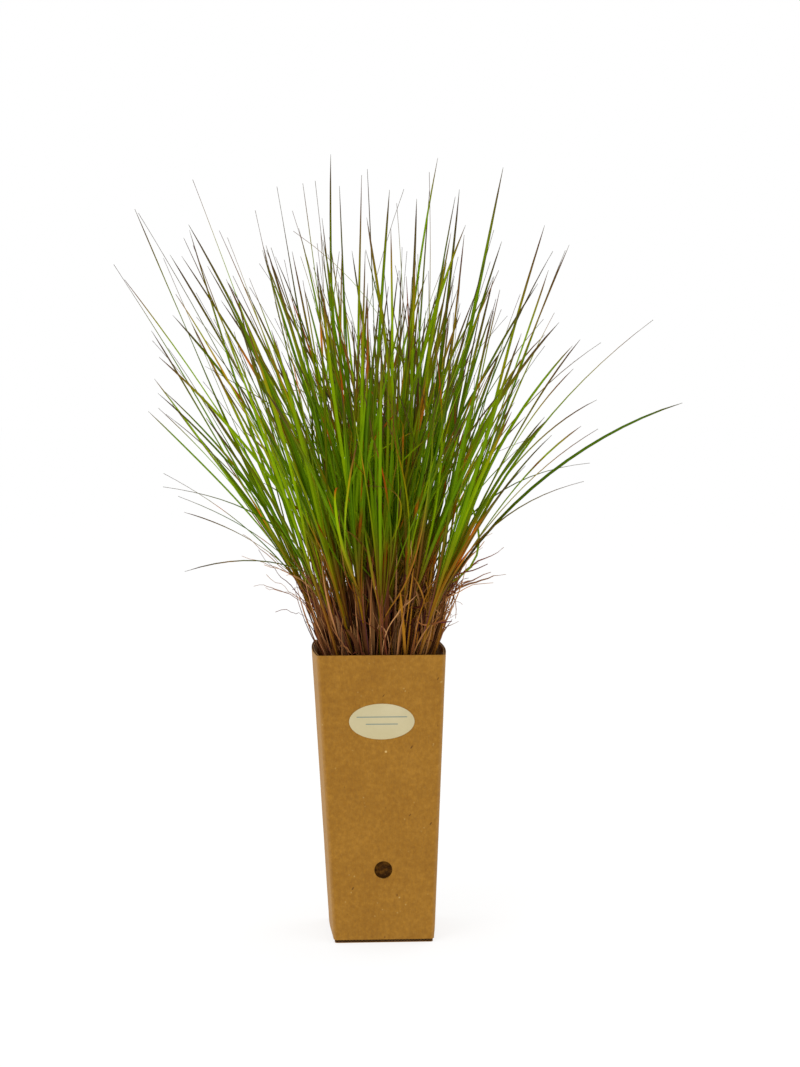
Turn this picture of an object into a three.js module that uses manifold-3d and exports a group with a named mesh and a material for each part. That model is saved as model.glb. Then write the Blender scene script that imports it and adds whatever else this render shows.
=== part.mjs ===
// A potted clump of little bluestem grass in a tapered carton of kraft board.
// Millimetres, +Z up. The origin is the centre of the carton's base, and the panel with the label faces -Y.
// The carton is one folded piece. It holds a square root ball, and each stem stands in its own hole in it.
// A stem is a bundle of sheaths. It stands in the mix as one, and at its top each sheath is a blade.
// Green stems carry long arching blades, and straw stems carry dead, curled ones.
import * as THREE from "three";
import { mergeVertices } from "three/addons/utils/BufferGeometryUtils.js";
import Module from "manifold-3d";

const wasm = await Module();
wasm.setup();

// Carton
const CARTON_HEIGHT = 207;
const MOUTH_WIDTH = 90; // outside, at the rim
const BASE_WIDTH = 71; // outside, at the base
const BOARD = 1.8; // thickness of the corrugated board
const FOLD_RADIUS = 2.4; // outside of a folded corner
const INNER_FOLD_RADIUS = 0.5; // least radius on the inside of a fold
const WALL_POINTS = [-0.6, 0, 0.6]; // places of points along a wall, in halves of its width
const WALL_STEPS = [0.35, 0.7]; // heights of the rings between base and rim, as shares of the height
const FOOT_STEPS = [4, 8, 12]; // heights of the rings where the side walls curl in to the base
const SIDE_BULGE = [2.4, 3]; // how far the two side walls bow out above the base and at the rim
const FOOT_CURL = 12; // from the base to this height the bow grows to its full measure
const MOUTH_SHIFT = -2.4; // folded a little askew, the carton has its mouth's centre left of the base's
const BASE_INSET = 0.6; // the base panel stands back from the walls' lower edges
const VENT_RADIUS = 6.4;
const VENT_HEIGHT = 53; // centre of the vent hole in each wall
const ROUND_STEPS = 20; // sides of the round vents, and steps of the label's outline

// Label
const LABEL_WIDTH = 46;
const LABEL_HEIGHT = 25.5;
const LABEL_THICKNESS = 0.6;
const LABEL_CENTRE_HEIGHT = 160;
const LABEL_GAP = 0.05;

// Root ball
const PLAY = 0.3; // gap between pieces that rest on each other
const MIX_TOP = 193; // mean height of the mix's surface
const MIX_RELIEF = 1.2;
const MIX_RINGS = [1, 0.72, 0.44, 0.18]; // rings of points on the surface, as shares of the way out
const MIX_SHOULDER = 6; // height of the rounded edge of the mix's surface
const HOLE_DEPTH = 12;
const HOLE_PLAY = 0.35;

// Stems
const GREEN_STEMS = 44;
const STRAW_STEMS = 13;
const STRAW_EVERY = 4; // every fourth stem from the middle outward is straw, until there are no more
const FIRST_STRAW = 2;
const CROWN_REACH = 34; // the outermost stem's distance from the crown's centre, at the mix
const CORNER_REACH = 0.16; // by how much of it the clump reaches further into the carton's corners
const EDGE_LEAN = 0.33; // radians from upright, at the crown's edge
const CLUMP_LEAN = -0.045; // the whole clump leans a little to the left
const LEAN_PLAY = 0.03;
const HEADING_PLAY = 0.12;
const STEM_BOW = [1, 5]; // how far the top of a stem at the crown's edge is bent outward
const STEM_SECTION = [4.2, 3.4]; // width and depth at the mix
const STEM_TAPER = 0.78;
const STEM_WAIST = 0.6; // share of the stem's length where it has one more ring
const STEM_STRETCHES = 4;
const GREEN_STEM_LENGTH = [44, 92]; // above the mix
const STRAW_STEM_LENGTH = [24, 50];
const LEAVES_PER_STEM = 8;
const SECTOR_ORDER = 3; // each next leaf of a stem stands three sectors further round

// Leaves
const GREEN_LEAF = { length: [125, 265], width: [1.9, 3.1], droop: [0.02, 0.3], rings: 3 };
const STRAW_LEAF = { length: [32, 84], width: [1.3, 2.1], droop: [0.2, 1.3], rings: 2 };
const LEAF_SPREAD = [0.05, 0.26]; // how far a leaf turns away from its stem where it starts
const BEND_PLACE = 0.48; // how far along a leaf its bend lies
const ROOT_OFFSET = 1 / 3; // from the stem's centre to a leaf's root, as a share of the stem's depth
const ROOT_WIDTH = 0.7; // a leaf's width where it leaves the sheath, as a share of its full width
const WIDENING = 1.2;
const TIP_TAPER = 0.72;
const TAPER_POWER = 1.7;
const BLADE_THICKNESS = 0.75;
const SECTOR_PLAY = 0.3;
const SHORTENING = 0.4; // the last draw of a leaf is this much shorter than the first
const CLEARANCE = 0.35; // kept between leaves of different stems
const RIM_CLEARANCE = 3;
const MOST_TRIES = 60;

// Leaves of the outline
const OUTLINE_LEAVES_PER_STEM = 3;
const OUTLINE_TIP_PLAY = [2, 9, 2];
const OUTLINE_PULL = 0.5; // how strongly such a leaf sets off toward its tip
const NEAREST_STEMS = 6;

// Seeds of the draws: each stem, each sector and each outline leaf draws from numbers of its own.
const SEEDS_PER_SECTOR = 256;
const SEEDS_PER_STEM = 8192;
const OUTLINE_SEEDS = 900000;

const GOLDEN_ANGLE = Math.PI * (3 - Math.sqrt(5));
const SECTOR = (2 * Math.PI) / LEAVES_PER_STEM;
const ROOT_SHARE = 0.35; // of a leaf's first stretch
const MOST_STRAY = 0.45 * SECTOR; // between a sector's middle and the way that its leaf sets off
const { lerp, clamp } = THREE.MathUtils;

// Tips of the long and low leaves that give the clump its outline.
// x runs to the right along the label's panel, y away from it, and z is the height above the base.
const OUTLINE_TIPS = [
  [-186, -18, 478],
  [-174, 14, 521],
  [-170, -34, 512],
  [-154, 38, 485],
  [-131, -12, 539],
  [-137, 52, 507],
  [-138, -50, 496],
  [-168, 26, 377],
  [-157, -30, 392],
  [-160, 44, 332],
  [-156, -8, 323],
  [-144, -46, 321],
  [-141, 12, 304],
  [-139, -20, 266],
  [-38, -20, 557],
  [-55, 26, 539],
  [-73, -30, 531],
  [-89, 34, 519],
  [-27, 44, 542],
  [-16, -46, 538],
  [-8, 10, 549],
  [6, -70, 500],
  [18, 60, 496],
  [23, -16, 527],
  [39, 30, 536],
  [50, -40, 530],
  [59, 12, 502],
  [87, 4, 551],
  [120, 40, 513],
  [114, -44, 474],
  [129, -6, 491],
  [130, 50, 448],
  [140, -38, 426],
  [195, 8, 442],
  [166, 46, 425],
  [213, -16, 380],
  [155, 30, 336],
  [141, -30, 329],
];

const WELD_DISTANCE = 1e-4;
const LEAST_SPREAD = 1e-9;

const vector = (x, y, z) => new THREE.Vector3(x, y, z);
const swing = (most, share) => lerp(-most, most, share);
const heading = (angle) => vector(Math.cos(angle), Math.sin(angle), 0);

// A seeded die: each call of the function that it returns gives the next number from 0 to 1.
function die(seed) {
  let state = seed >>> 0;
  return () => {
    state = (state + 0x6d2b79f5) >>> 0;
    let mixed = Math.imul(state ^ (state >>> 15), state | 1);
    mixed ^= mixed + Math.imul(mixed ^ (mixed >>> 7), mixed | 61);
    return ((mixed ^ (mixed >>> 14)) >>> 0) / 4294967296;
  };
}

// A closed skin over rings of points, with each end closed on a point of its own.
function skin(rings, startPoint, endPoint) {
  const sides = rings[0].length;
  const last = (rings.length - 1) * sides;
  const start = rings.length * sides;
  const end = start + 1;
  const triangles = [];
  for (let side = 0; side < sides; side++) {
    const next = (side + 1) % sides;
    for (let ring = 0; ring < last; ring += sides) {
      triangles.push(ring + side, ring + next, ring + sides + next);
      triangles.push(ring + side, ring + sides + next, ring + sides + side);
    }
    triangles.push(start, next, side);
    triangles.push(end, last + side, last + next);
  }
  const geometry = new THREE.BufferGeometry().setFromPoints([...rings.flat(), startPoint, endPoint]);
  geometry.setIndex(triangles);
  return geometry;
}

// A closed mesh as a solid that can be joined and cut.
function solid(geometry) {
  const plain = geometry.clone();
  plain.deleteAttribute("normal");
  plain.deleteAttribute("uv");
  const merged = mergeVertices(plain, WELD_DISTANCE);
  const mesh = new wasm.Mesh({
    numProp: 3,
    vertProperties: merged.attributes.position.array,
    triVerts: new Uint32Array(merged.index.array),
  });
  return new wasm.Manifold(mesh);
}

// A solid's triangles as a geometry.
function skinOf(made) {
  const { vertProperties, triVerts } = made.getMesh();
  const geometry = new THREE.BufferGeometry();
  geometry.setAttribute("position", new THREE.BufferAttribute(new Float32Array(vertProperties), 3));
  geometry.setIndex(new THREE.BufferAttribute(new Uint32Array(triVerts), 1));
  return geometry;
}

// Half of the carton's outside width, and its centre line's place in x, at a height.
const halfWidth = (z) => lerp(BASE_WIDTH, MOUTH_WIDTH, z / CARTON_HEIGHT) / 2;
const centreX = (z) => (MOUTH_SHIFT * z) / CARTON_HEIGHT;

// The carton's section at a height, moved in by a distance: round corners and bowed side walls.
function cartonRing(z, inset) {
  const half = halfWidth(z) - inset;
  const radius = Math.max(FOLD_RADIUS - inset, INNER_FOLD_RADIUS);
  const grown = Math.sin((Math.PI / 2) * Math.min(z / FOOT_CURL, 1));
  const bulge = lerp(...SIDE_BULGE, z / CARTON_HEIGHT) * grown;
  const ring = [];
  for (let wall = 0; wall < 4; wall++) {
    const turn = new THREE.Matrix4().makeRotationZ((wall * Math.PI) / 2);
    for (const along of WALL_POINTS) ring.push(vector(half, along * half, z).applyMatrix4(turn));
    for (const angle of [0, 45, 90].map(THREE.MathUtils.degToRad)) {
      const corner = heading(angle).multiplyScalar(radius);
      ring.push(corner.add(vector(half - radius, half - radius, z)).applyMatrix4(turn));
    }
  }
  for (const point of ring) {
    const bow = bulge * Math.max(0, 1 - (point.y / half) ** 2);
    point.x += (bow * point.x) / half + centreX(z);
  }
  return ring;
}

const wallSteps = [...FOOT_STEPS, ...WALL_STEPS.map((share) => CARTON_HEIGHT * share)];

// The folded box: base panel, outside of the walls, rim, inside and floor, with a hole in each wall.
function carton() {
  const heights = [BOARD, ...wallSteps, CARTON_HEIGHT];
  const outside = heights.map((z) => cartonRing(z, 0));
  const inside = heights.map((z) => cartonRing(z, BOARD)).reverse();
  const foot = [0, BOARD].map((z) => cartonRing(z, BASE_INSET));
  const box = solid(skin([...foot, ...outside, ...inside], vector(0, 0, 0), vector(0, 0, BOARD)));
  const punch = new THREE.CylinderGeometry(VENT_RADIUS, VENT_RADIUS, 2 * MOUTH_WIDTH, ROUND_STEPS);
  punch.translate(centreX(VENT_HEIGHT), 0, -VENT_HEIGHT);
  punch.rotateX(Math.PI);
  const crosswise = new THREE.CylinderGeometry(VENT_RADIUS, VENT_RADIUS, 2 * MOUTH_WIDTH, ROUND_STEPS);
  crosswise.rotateZ(Math.PI / 2);
  crosswise.translate(0, 0, VENT_HEIGHT);
  return skinOf(box.subtract(solid(punch)).subtract(solid(crosswise)));
}

// The oval sticker, which lies on the sloping front panel.
function label() {
  const slope = Math.atan((MOUTH_WIDTH - BASE_WIDTH) / 2 / CARTON_HEIGHT);
  const oval = new THREE.Shape().absellipse(0, 0, LABEL_WIDTH / 2, LABEL_HEIGHT / 2, 0, 2 * Math.PI);
  const settings = { depth: LABEL_THICKNESS, bevelEnabled: false, curveSegments: ROUND_STEPS };
  const geometry = new THREE.ExtrudeGeometry(oval, settings);
  geometry.translate(0, 0, LABEL_GAP);
  geometry.rotateX(Math.PI / 2 + slope);
  const height = LABEL_CENTRE_HEIGHT;
  geometry.translate(centreX(height), -halfWidth(height), height);
  return geometry;
}

// Height of the mix's surface, uneven by a low wave.
const mixHeight = (x, y) => MIX_TOP + MIX_RELIEF * Math.sin(x / 7 + 1) * Math.cos(y / 9 - 0.5);

// The square plug of mix and roots, with a plain hole for each stem.
function rootBall(stems) {
  const inset = BOARD + PLAY;
  const heights = [inset, ...wallSteps, MIX_TOP - MIX_SHOULDER];
  const sides = heights.map((z) => cartonRing(z, inset));
  const centre = centreX(MIX_TOP);
  const edge = cartonRing(MIX_TOP, inset + MIX_SHOULDER / 3);
  const surface = MIX_RINGS.map((share) =>
    edge.map((point) => {
      const x = centre + (point.x - centre) * share;
      const y = point.y * share;
      return vector(x, y, mixHeight(x, y) - (share === 1 ? MIX_SHOULDER / 3 : 0));
    }),
  );
  const top = vector(centre, 0, mixHeight(centre, 0));
  const plug = solid(skin([...sides, ...surface], vector(0, 0, inset), top));
  return skinOf(stems.reduce((left, stem) => left.subtract(stemHole(stem)), plug));
}

// A direction square to a stem that points along `along`, at an angle from its section's wide side.
function sideways(stem, along, angle) {
  const wide = heading(stem.rank).projectOnPlane(along).normalize();
  const deep = vector(0, 0, 0).crossVectors(along, wide);
  return wide.multiplyScalar(Math.cos(angle)).addScaledVector(deep, Math.sin(angle));
}

// Corners of a stem's flattened section around a point. Each leaf's sector lies between two of them.
function stemRing(stem, centre, along, scale, play) {
  const [width, depth] = STEM_SECTION.map((size) => (size * scale) / 2 + play);
  return Array.from({ length: LEAVES_PER_STEM }, (_, corner) => {
    const angle = (corner - 0.5) * SECTOR;
    return centre
      .clone()
      .addScaledVector(sideways(stem, along, 0), width * Math.cos(angle))
      .addScaledVector(sideways(stem, along, Math.PI / 2), depth * Math.sin(angle));
  });
}

// The hole that a stem stands in, wider than the stem all round.
function stemHole(stem) {
  const bottom = stem.curve.getPoint(0).addScaledVector(stem.axis, -HOLE_PLAY);
  const mouth = bottom.clone().addScaledVector(stem.axis, 2 * HOLE_DEPTH);
  const rings = [bottom, mouth].map((centre) => stemRing(stem, centre, stem.axis, 1, HOLE_PLAY));
  return solid(skin(rings, bottom, mouth));
}

// Stems stand in a sunflower's spiral over the crown, upright in the middle and leaning out at the edge.
function plantStems() {
  const count = GREEN_STEMS + STRAW_STEMS;
  const stems = [];
  for (let index = 0; index < count; index++) {
    const roll = die(index + 1);
    const turn = index * GOLDEN_ANGLE;
    const reach = Math.sqrt((index + 0.5) / count) * (1 + CORNER_REACH * Math.sin(2 * turn) ** 4);
    const place = heading(turn).multiplyScalar(CROWN_REACH * reach);
    const lean = EDGE_LEAN * Math.min(reach, 1) + swing(LEAN_PLAY, roll());
    const outward = heading(turn + swing(HEADING_PLAY, roll()));
    const axis = vector(CLUMP_LEAN, 0, Math.cos(lean)).addScaledVector(outward, Math.sin(lean)).normalize();
    const straw = index % STRAW_EVERY === FIRST_STRAW && index < STRAW_EVERY * STRAW_STEMS;
    const length = HOLE_DEPTH + lerp(...(straw ? STRAW_STEM_LENGTH : GREEN_STEM_LENGTH), roll());
    const bow = lerp(...STEM_BOW, roll()) * reach;
    const foot = vector(place.x + centreX(MIX_TOP), place.y, mixHeight(place.x, place.y));
    foot.addScaledVector(axis, -HOLE_DEPTH);
    const middle = foot.clone().addScaledVector(axis, length / 2);
    const top = foot.clone().addScaledVector(axis, length).addScaledVector(outward, bow);
    const curve = new THREE.QuadraticBezierCurve3(foot, middle, top);
    const rank = roll() * Math.PI;
    stems.push({ index, straw, curve, axis, length, rank, leaves: [] });
  }
  return stems;
}

// Width of a leaf at a share of its length: narrow at the sheath, full at a quarter, then a long taper.
function leafWidth(share) {
  return Math.min(ROOT_WIDTH + WIDENING * share, 1) * (1 - TIP_TAPER * share ** TAPER_POWER);
}

// The straight stretches that a leaf or stem is made of, for the test of clearance.
function stretches(curve, count, radius) {
  const points = curve.getPoints(count);
  return points.slice(1).map((to, at) => {
    const from = points[at];
    return { from, to, radius: radius((at + 0.5) / count) };
  });
}

// The least distance between two straight stretches.
function distanceBetween(one, other) {
  const u = one.to.clone().sub(one.from);
  const v = other.to.clone().sub(other.from);
  const w = one.from.clone().sub(other.from);
  const [uu, uv, vv, uw, vw] = [u.dot(u), u.dot(v), v.dot(v), u.dot(w), v.dot(w)];
  const spread = Math.max(uu * vv - uv * uv, LEAST_SPREAD);
  const first = clamp((uv * vw - vv * uw) / spread, 0, 1);
  const onOther = clamp((uv * first + vw) / vv, 0, 1);
  const onOne = clamp((uv * onOther - uw) / uu, 0, 1);
  return w.addScaledVector(u, onOne).addScaledVector(v, -onOther).length();
}

const isApart = (one, other) => distanceBetween(one, other) > one.radius + other.radius + CLEARANCE;

// A leaf rises from its sector of the stem's top and bends over to its tip.
function makeLeaf(stem, kind, sector, direction, tip, width) {
  const top = stem.curve.getPoint(1);
  const along = stem.curve.getTangent(1);
  const side = sideways(stem, along, sector * SECTOR);
  const root = top.clone().addScaledVector(side, STEM_SECTION[1] * STEM_TAPER * ROOT_OFFSET);
  const middle = root.clone().addScaledVector(direction, root.distanceTo(tip) * BEND_PLACE);
  const curve = new THREE.QuadraticBezierCurve3(root, middle, tip);
  const radius = (share) => Math.max((width * leafWidth(share)) / 2, BLADE_THICKNESS);
  const pieces = stretches(curve, kind.rings + 1, radius);
  const stray = pieces[0].to.clone().sub(top).projectOnPlane(along).angleTo(side);
  return { sector, side, stray, curve, width, rings: kind.rings, stretches: pieces };
}

// One draw of a leaf that fills the clump.
function drawLeaf(stem, sector, attempt) {
  const kind = stem.straw ? STRAW_LEAF : GREEN_LEAF;
  const roll = die((stem.index + 1) * SEEDS_PER_STEM + sector * SEEDS_PER_SECTOR + attempt);
  const along = stem.curve.getTangent(1);
  const side = sideways(stem, along, (sector + swing(SECTOR_PLAY, roll())) * SECTOR);
  const direction = along.addScaledVector(side, lerp(...LEAF_SPREAD, roll())).normalize();
  const away = vector(direction.x, direction.y, 0).normalize();
  const length = lerp(...kind.length, roll()) * (1 - (SHORTENING * attempt) / MOST_TRIES);
  const bend = direction.clone().addScaledVector(away, lerp(...kind.droop, roll())).normalize();
  const tip = stem.curve.getPoint(1).addScaledVector(bend, length);
  return makeLeaf(stem, kind, sector, direction, tip, lerp(...kind.width, roll()));
}

// One draw of a leaf of the outline, in the free sector that faces its tip.
function drawOutlineLeaf(stem, goal, number, attempt) {
  const roll = die(OUTLINE_SEEDS + number * SEEDS_PER_SECTOR + attempt);
  const tip = vector(...goal.map((place, axis) => place + swing(OUTLINE_TIP_PLAY[axis], roll())));
  const along = stem.curve.getTangent(1);
  const chord = tip.clone().sub(stem.curve.getPoint(1)).normalize();
  const facing = (sector) => sideways(stem, along, sector * SECTOR).dot(chord);
  const taken = stem.leaves.map((leaf) => leaf.sector);
  const free = [...Array(LEAVES_PER_STEM).keys()].filter((at) => !taken.includes(at));
  const sector = free.reduce((best, at) => (facing(at) > facing(best) ? at : best));
  const side = sideways(stem, along, sector * SECTOR);
  const direction = along.addScaledVector(side, LEAF_SPREAD[0]).addScaledVector(chord, OUTLINE_PULL);
  direction.normalize();
  return makeLeaf(stem, GREEN_LEAF, sector, direction, tip, lerp(...GREEN_LEAF.width, roll()));
}

// A leaf's stretches without the part at its root, where the leaves of one stem touch.
function pastRoot({ stretches: [first, ...others] }) {
  return [{ ...first, from: first.from.clone().lerp(first.to, ROOT_SHARE) }, ...others];
}

// Whether a leaf keeps to its sector and clear of the carton, other stems, their leaves and its siblings.
function isClear(leaf, stem, stems) {
  if (leaf.stray > MOST_STRAY) return false;
  const lowest = Math.min(...leaf.stretches.flatMap(({ from, to }) => [from.z, to.z]));
  if (lowest < CARTON_HEIGHT + RIM_CLEARANCE) return false;
  const isClearOf = (theirs) => leaf.stretches.every((own) => isApart(own, theirs));
  const isClearOfSibling = (theirs) => pastRoot(leaf).every((own) => isApart(own, theirs));
  return stems.every((other) =>
    other === stem
      ? stem.leaves.every((sibling) => pastRoot(sibling).every(isClearOfSibling))
      : [other, ...other.leaves].every((piece) => piece.stretches.every(isClearOf)),
  );
}

// Adds the first draw of a leaf that is clear, and tells whether there was one.
function addLeaf(stem, stems, draw) {
  for (let attempt = 0; attempt < MOST_TRIES; attempt++) {
    const leaf = draw(attempt);
    if (isClear(leaf, stem, stems)) {
      stem.leaves.push(leaf);
      return true;
    }
  }
  return false;
}

// Each leaf of the outline grows from the stem that points most nearly at its tip and still has room.
function growOutline(stems) {
  OUTLINE_TIPS.forEach((tip, number) => {
    const misses = ({ curve }) => {
      const way = vector(...tip).sub(curve.getPoint(1));
      return curve.getTangent(1).angleTo(way);
    };
    const nearest = stems
      .filter((stem) => !stem.straw && stem.leaves.length < OUTLINE_LEAVES_PER_STEM)
      .sort((one, other) => misses(one) - misses(other));
    nearest
      .slice(0, NEAREST_STEMS)
      .some((stem) => addLeaf(stem, stems, (attempt) => drawOutlineLeaf(stem, tip, number, attempt)));
  });
}

// All the stems: those of the outline get their long leaves first, and then every free sector is filled.
function growStems() {
  const stems = plantStems();
  const radius = (share) => (STEM_SECTION[0] * lerp(1, STEM_TAPER, share)) / 2;
  for (const stem of stems) stem.stretches = stretches(stem.curve, STEM_STRETCHES, radius);
  growOutline(stems);
  for (let order = 0; order < LEAVES_PER_STEM; order++) {
    const sector = (order * SECTOR_ORDER) % LEAVES_PER_STEM;
    for (const stem of stems)
      if (stem.leaves.every((leaf) => leaf.sector !== sector))
        addLeaf(stem, stems, (attempt) => drawLeaf(stem, sector, attempt));
  }
  return stems;
}

// A leaf's three-sided sections, flat below and ridged above. They turn from the stem's side to the bend's.
function leafRings({ curve, side, width, rings }) {
  const bendAxis = vector(0, 0, 0)
    .crossVectors(curve.v1.clone().sub(curve.v0), curve.v2.clone().sub(curve.v1))
    .normalize();
  const startAxis = vector(0, 0, 0).crossVectors(curve.getTangent(0), side);
  if (bendAxis.dot(startAxis) < 0) bendAxis.negate();
  return Array.from({ length: rings }, (_, ring) => {
    const share = (ring + 1) / (rings + 1);
    const along = curve.getTangent(share);
    const across = startAxis.clone().lerp(bendAxis, share).projectOnPlane(along).normalize();
    const ridge = vector(0, 0, 0).crossVectors(along, across);
    const half = (width * leafWidth(share)) / 2;
    const centre = curve.getPoint(share);
    return [
      centre.clone().addScaledVector(ridge, BLADE_THICKNESS),
      centre.clone().addScaledVector(across, -half),
      centre.clone().addScaledVector(across, half),
    ];
  });
}

// A stem and its leaves in one skin: the stem's rings, then for each sector of its top a leaf or a cap.
function leafyStem(stem) {
  const shares = [0, HOLE_DEPTH / stem.length, STEM_WAIST, 1];
  const rings = shares.map((share) => {
    const centre = stem.curve.getPoint(share);
    return stemRing(stem, centre, stem.curve.getTangent(share), lerp(1, STEM_TAPER, share), 0);
  });
  const points = [stem.curve.getPoint(0), ...rings.flat(), stem.curve.getPoint(1)];
  const topCentre = points.length - 1;
  const triangles = [];
  const wall = (low, lowNext, high, highNext) =>
    triangles.push(low, lowNext, highNext, low, highNext, high);
  for (let corner = 0; corner < LEAVES_PER_STEM; corner++) {
    const next = (corner + 1) % LEAVES_PER_STEM;
    const at = (ring, place) => 1 + ring * LEAVES_PER_STEM + place;
    triangles.push(0, at(0, next), at(0, corner));
    for (let ring = 0; ring + 1 < rings.length; ring++)
      wall(at(ring, corner), at(ring, next), at(ring + 1, corner), at(ring + 1, next));
    let base = [topCentre, at(rings.length - 1, corner), at(rings.length - 1, next)];
    const leaf = stem.leaves.find(({ sector }) => sector === corner);
    if (leaf) {
      for (const section of leafRings(leaf)) {
        const above = section.map((_, place) => points.length + place);
        points.push(...section);
        const [ridge, left, right] = base;
        const [ridgeAbove, leftAbove, rightAbove] = above;
        triangles.push(ridge, left, ridgeAbove, left, leftAbove, ridgeAbove);
        wall(left, right, leftAbove, rightAbove);
        wall(right, ridge, rightAbove, ridgeAbove);
        base = above;
      }
      points.push(leaf.curve.getPoint(1));
      for (const place of [0, 1, 2]) triangles.push(base[place], base[(place + 1) % 3], points.length - 1);
    } else {
      triangles.push(...base);
    }
  }
  const geometry = new THREE.BufferGeometry().setFromPoints(points);
  geometry.setIndex(triangles);
  return geometry;
}

const finish = (color, roughness) => new THREE.MeshStandardMaterial({ color, roughness, metalness: 0 });
const KRAFT_BOARD = finish(0xa0712c, 0.85);
const LABEL_PAPER = finish(0xc7bd97, 0.7);
const MIX = finish(0x412606, 0.95);
const GREEN = finish(0x5f7014, 0.55);
const STRAW = finish(0x9a6a3a, 0.8);

const plant = new THREE.Group();

// Adds a named piece to the plant.
function place(name, geometry, material) {
  const mesh = new THREE.Mesh(geometry, material);
  mesh.name = name;
  plant.add(mesh);
}

const stems = growStems();
place("carton", carton(), KRAFT_BOARD);
place("label", label(), LABEL_PAPER);
place("root_ball", rootBall(stems), MIX);
for (const stem of stems) {
  const number = String(stem.index + 1).padStart(2, "0");
  place(`${stem.straw ? "straw" : "green"}_stem_${number}`, leafyStem(stem), stem.straw ? STRAW : GREEN);
}

export default plant;
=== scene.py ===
# %% [markdown]
# # Little bluestem in a kraft carton
# A clump of prairie grass stands in a tall, tapered carton of corrugated board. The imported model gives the
# size and place of everything: the carton, its label, the root ball and 57 leafy stems. This lesson dresses
# that frame. It builds the board with its flutes, the mix with its crumbs, and each tiller as a bundle of
# sheaths and fine blades. All lengths are in metres, and the origin is the centre of the carton's base.

# %% Load the frame
import math

import bpy
import numpy as np
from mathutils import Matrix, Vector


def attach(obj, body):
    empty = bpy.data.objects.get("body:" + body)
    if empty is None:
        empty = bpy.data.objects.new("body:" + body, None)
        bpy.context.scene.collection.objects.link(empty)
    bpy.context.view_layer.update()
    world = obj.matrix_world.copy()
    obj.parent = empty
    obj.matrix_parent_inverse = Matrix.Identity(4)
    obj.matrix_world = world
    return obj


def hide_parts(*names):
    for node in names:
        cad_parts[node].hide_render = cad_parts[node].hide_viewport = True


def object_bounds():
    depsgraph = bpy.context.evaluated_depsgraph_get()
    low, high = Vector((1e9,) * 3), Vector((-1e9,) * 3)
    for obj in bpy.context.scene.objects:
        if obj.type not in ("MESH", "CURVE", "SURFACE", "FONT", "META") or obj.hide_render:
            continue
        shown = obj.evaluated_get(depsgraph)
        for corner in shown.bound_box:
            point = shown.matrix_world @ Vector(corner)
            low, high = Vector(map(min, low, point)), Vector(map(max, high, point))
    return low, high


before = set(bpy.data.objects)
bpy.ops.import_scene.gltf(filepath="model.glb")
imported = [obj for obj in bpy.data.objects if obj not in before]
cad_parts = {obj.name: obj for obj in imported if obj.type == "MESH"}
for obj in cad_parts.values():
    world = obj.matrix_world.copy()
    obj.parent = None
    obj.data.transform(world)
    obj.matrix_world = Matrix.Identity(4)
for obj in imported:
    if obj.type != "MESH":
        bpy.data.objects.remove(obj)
cad_box = [list(corner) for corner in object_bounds()]
print("CAD box", cad_box, "nodes", len(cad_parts))

MM = 0.001
UP = np.array([0, 0, 1.0])
SEED = 20


def unit(vectors):
    """Each vector divided by its own length."""
    return vectors / np.maximum(np.linalg.norm(vectors, axis=-1, keepdims=True), 1e-12)


def mix(low, high, share):
    """The value that lies a share of the way from low to high."""
    return low + (high - low) * share


def smooth(low, high, values):
    """0 below low, 1 above high, and an S-shaped curve, 3t^2 - 2t^3, in between."""
    share = np.clip((values - low) / (high - low), 0, 1)
    return share * share * (3 - 2 * share)


# %% [markdown]
# ## Camera, floor and light
# The grass was photographed from a little above the carton's rim, with a long lens and very soft light on a
# white ground. The lens and the place of the camera follow from the carton: its mouth, its base and its
# label are known sizes. A white floor and a white world give the even light, and four large, weak lamps
# shape the blades.

# %% Camera
PICTURE_HEIGHT = 1067  # pixels, the long side of the photograph
FOCAL_PIXELS = 2000
SENSOR = 36
CAMERA_PLACE = (-69.1 * MM, -1430.4 * MM, 397 * MM)
CAMERA_AZIMUTH = math.radians(-3.3)
CAMERA_PITCH = math.radians(-4.31)

lens = bpy.data.cameras.new("lens")
lens.sensor_width = SENSOR
lens.lens = SENSOR * FOCAL_PIXELS / PICTURE_HEIGHT
camera = bpy.data.objects.new("camera", lens)
bpy.context.scene.collection.objects.link(camera)
camera.location = CAMERA_PLACE
camera.rotation_euler = (math.pi / 2 + CAMERA_PITCH, 0, CAMERA_AZIMUTH)
bpy.context.scene.camera = camera
print("lens", round(lens.lens, 1), "mm")


# %% Floor, world and lamps
FLOOR_SIZE = 30.0
FLOOR_DEPTH = 0.1 * MM  # the floor lies this far under the carton
CLUMP_MIDDLE = (0, 0, 0.33)
CARTON_MIDDLE = (0, 0, 0.15)


def lamp(name, place, target, size, power):
    """A square area lamp that looks from its place at a target."""
    data = bpy.data.lights.new(name, "AREA")
    data.size = size
    data.energy = power
    made = bpy.data.objects.new(name, data)
    bpy.context.scene.collection.objects.link(made)
    made.location = place
    x, y, z = np.array(target, float) - np.array(place, float)
    azimuth = math.atan2(y, x) - math.pi / 2
    tilt = math.atan2(z, math.hypot(x, y))
    made.rotation_euler = (math.pi / 2 + tilt, 0, azimuth)


lamp("key", (-1.2, -1.4, 1.3), CLUMP_MIDDLE, 1.0, 9)
lamp("rim", (1.3, 0.9, 1.4), CLUMP_MIDDLE, 1.2, 4)
lamp("side", (-1.5, 0.15, 0.35), CARTON_MIDDLE, 0.8, 4)
lamp("fill", (1.3, -1.1, 0.6), CLUMP_MIDDLE, 1.0, 3)

world = bpy.data.worlds.new("studio")
world.use_nodes = True
background = world.node_tree.nodes["Background"].inputs
background["Color"].default_value = (1, 1, 1, 1)
background["Strength"].default_value = 1.0
bpy.context.scene.world = world
bpy.context.scene.view_settings.view_transform = "Standard"

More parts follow.
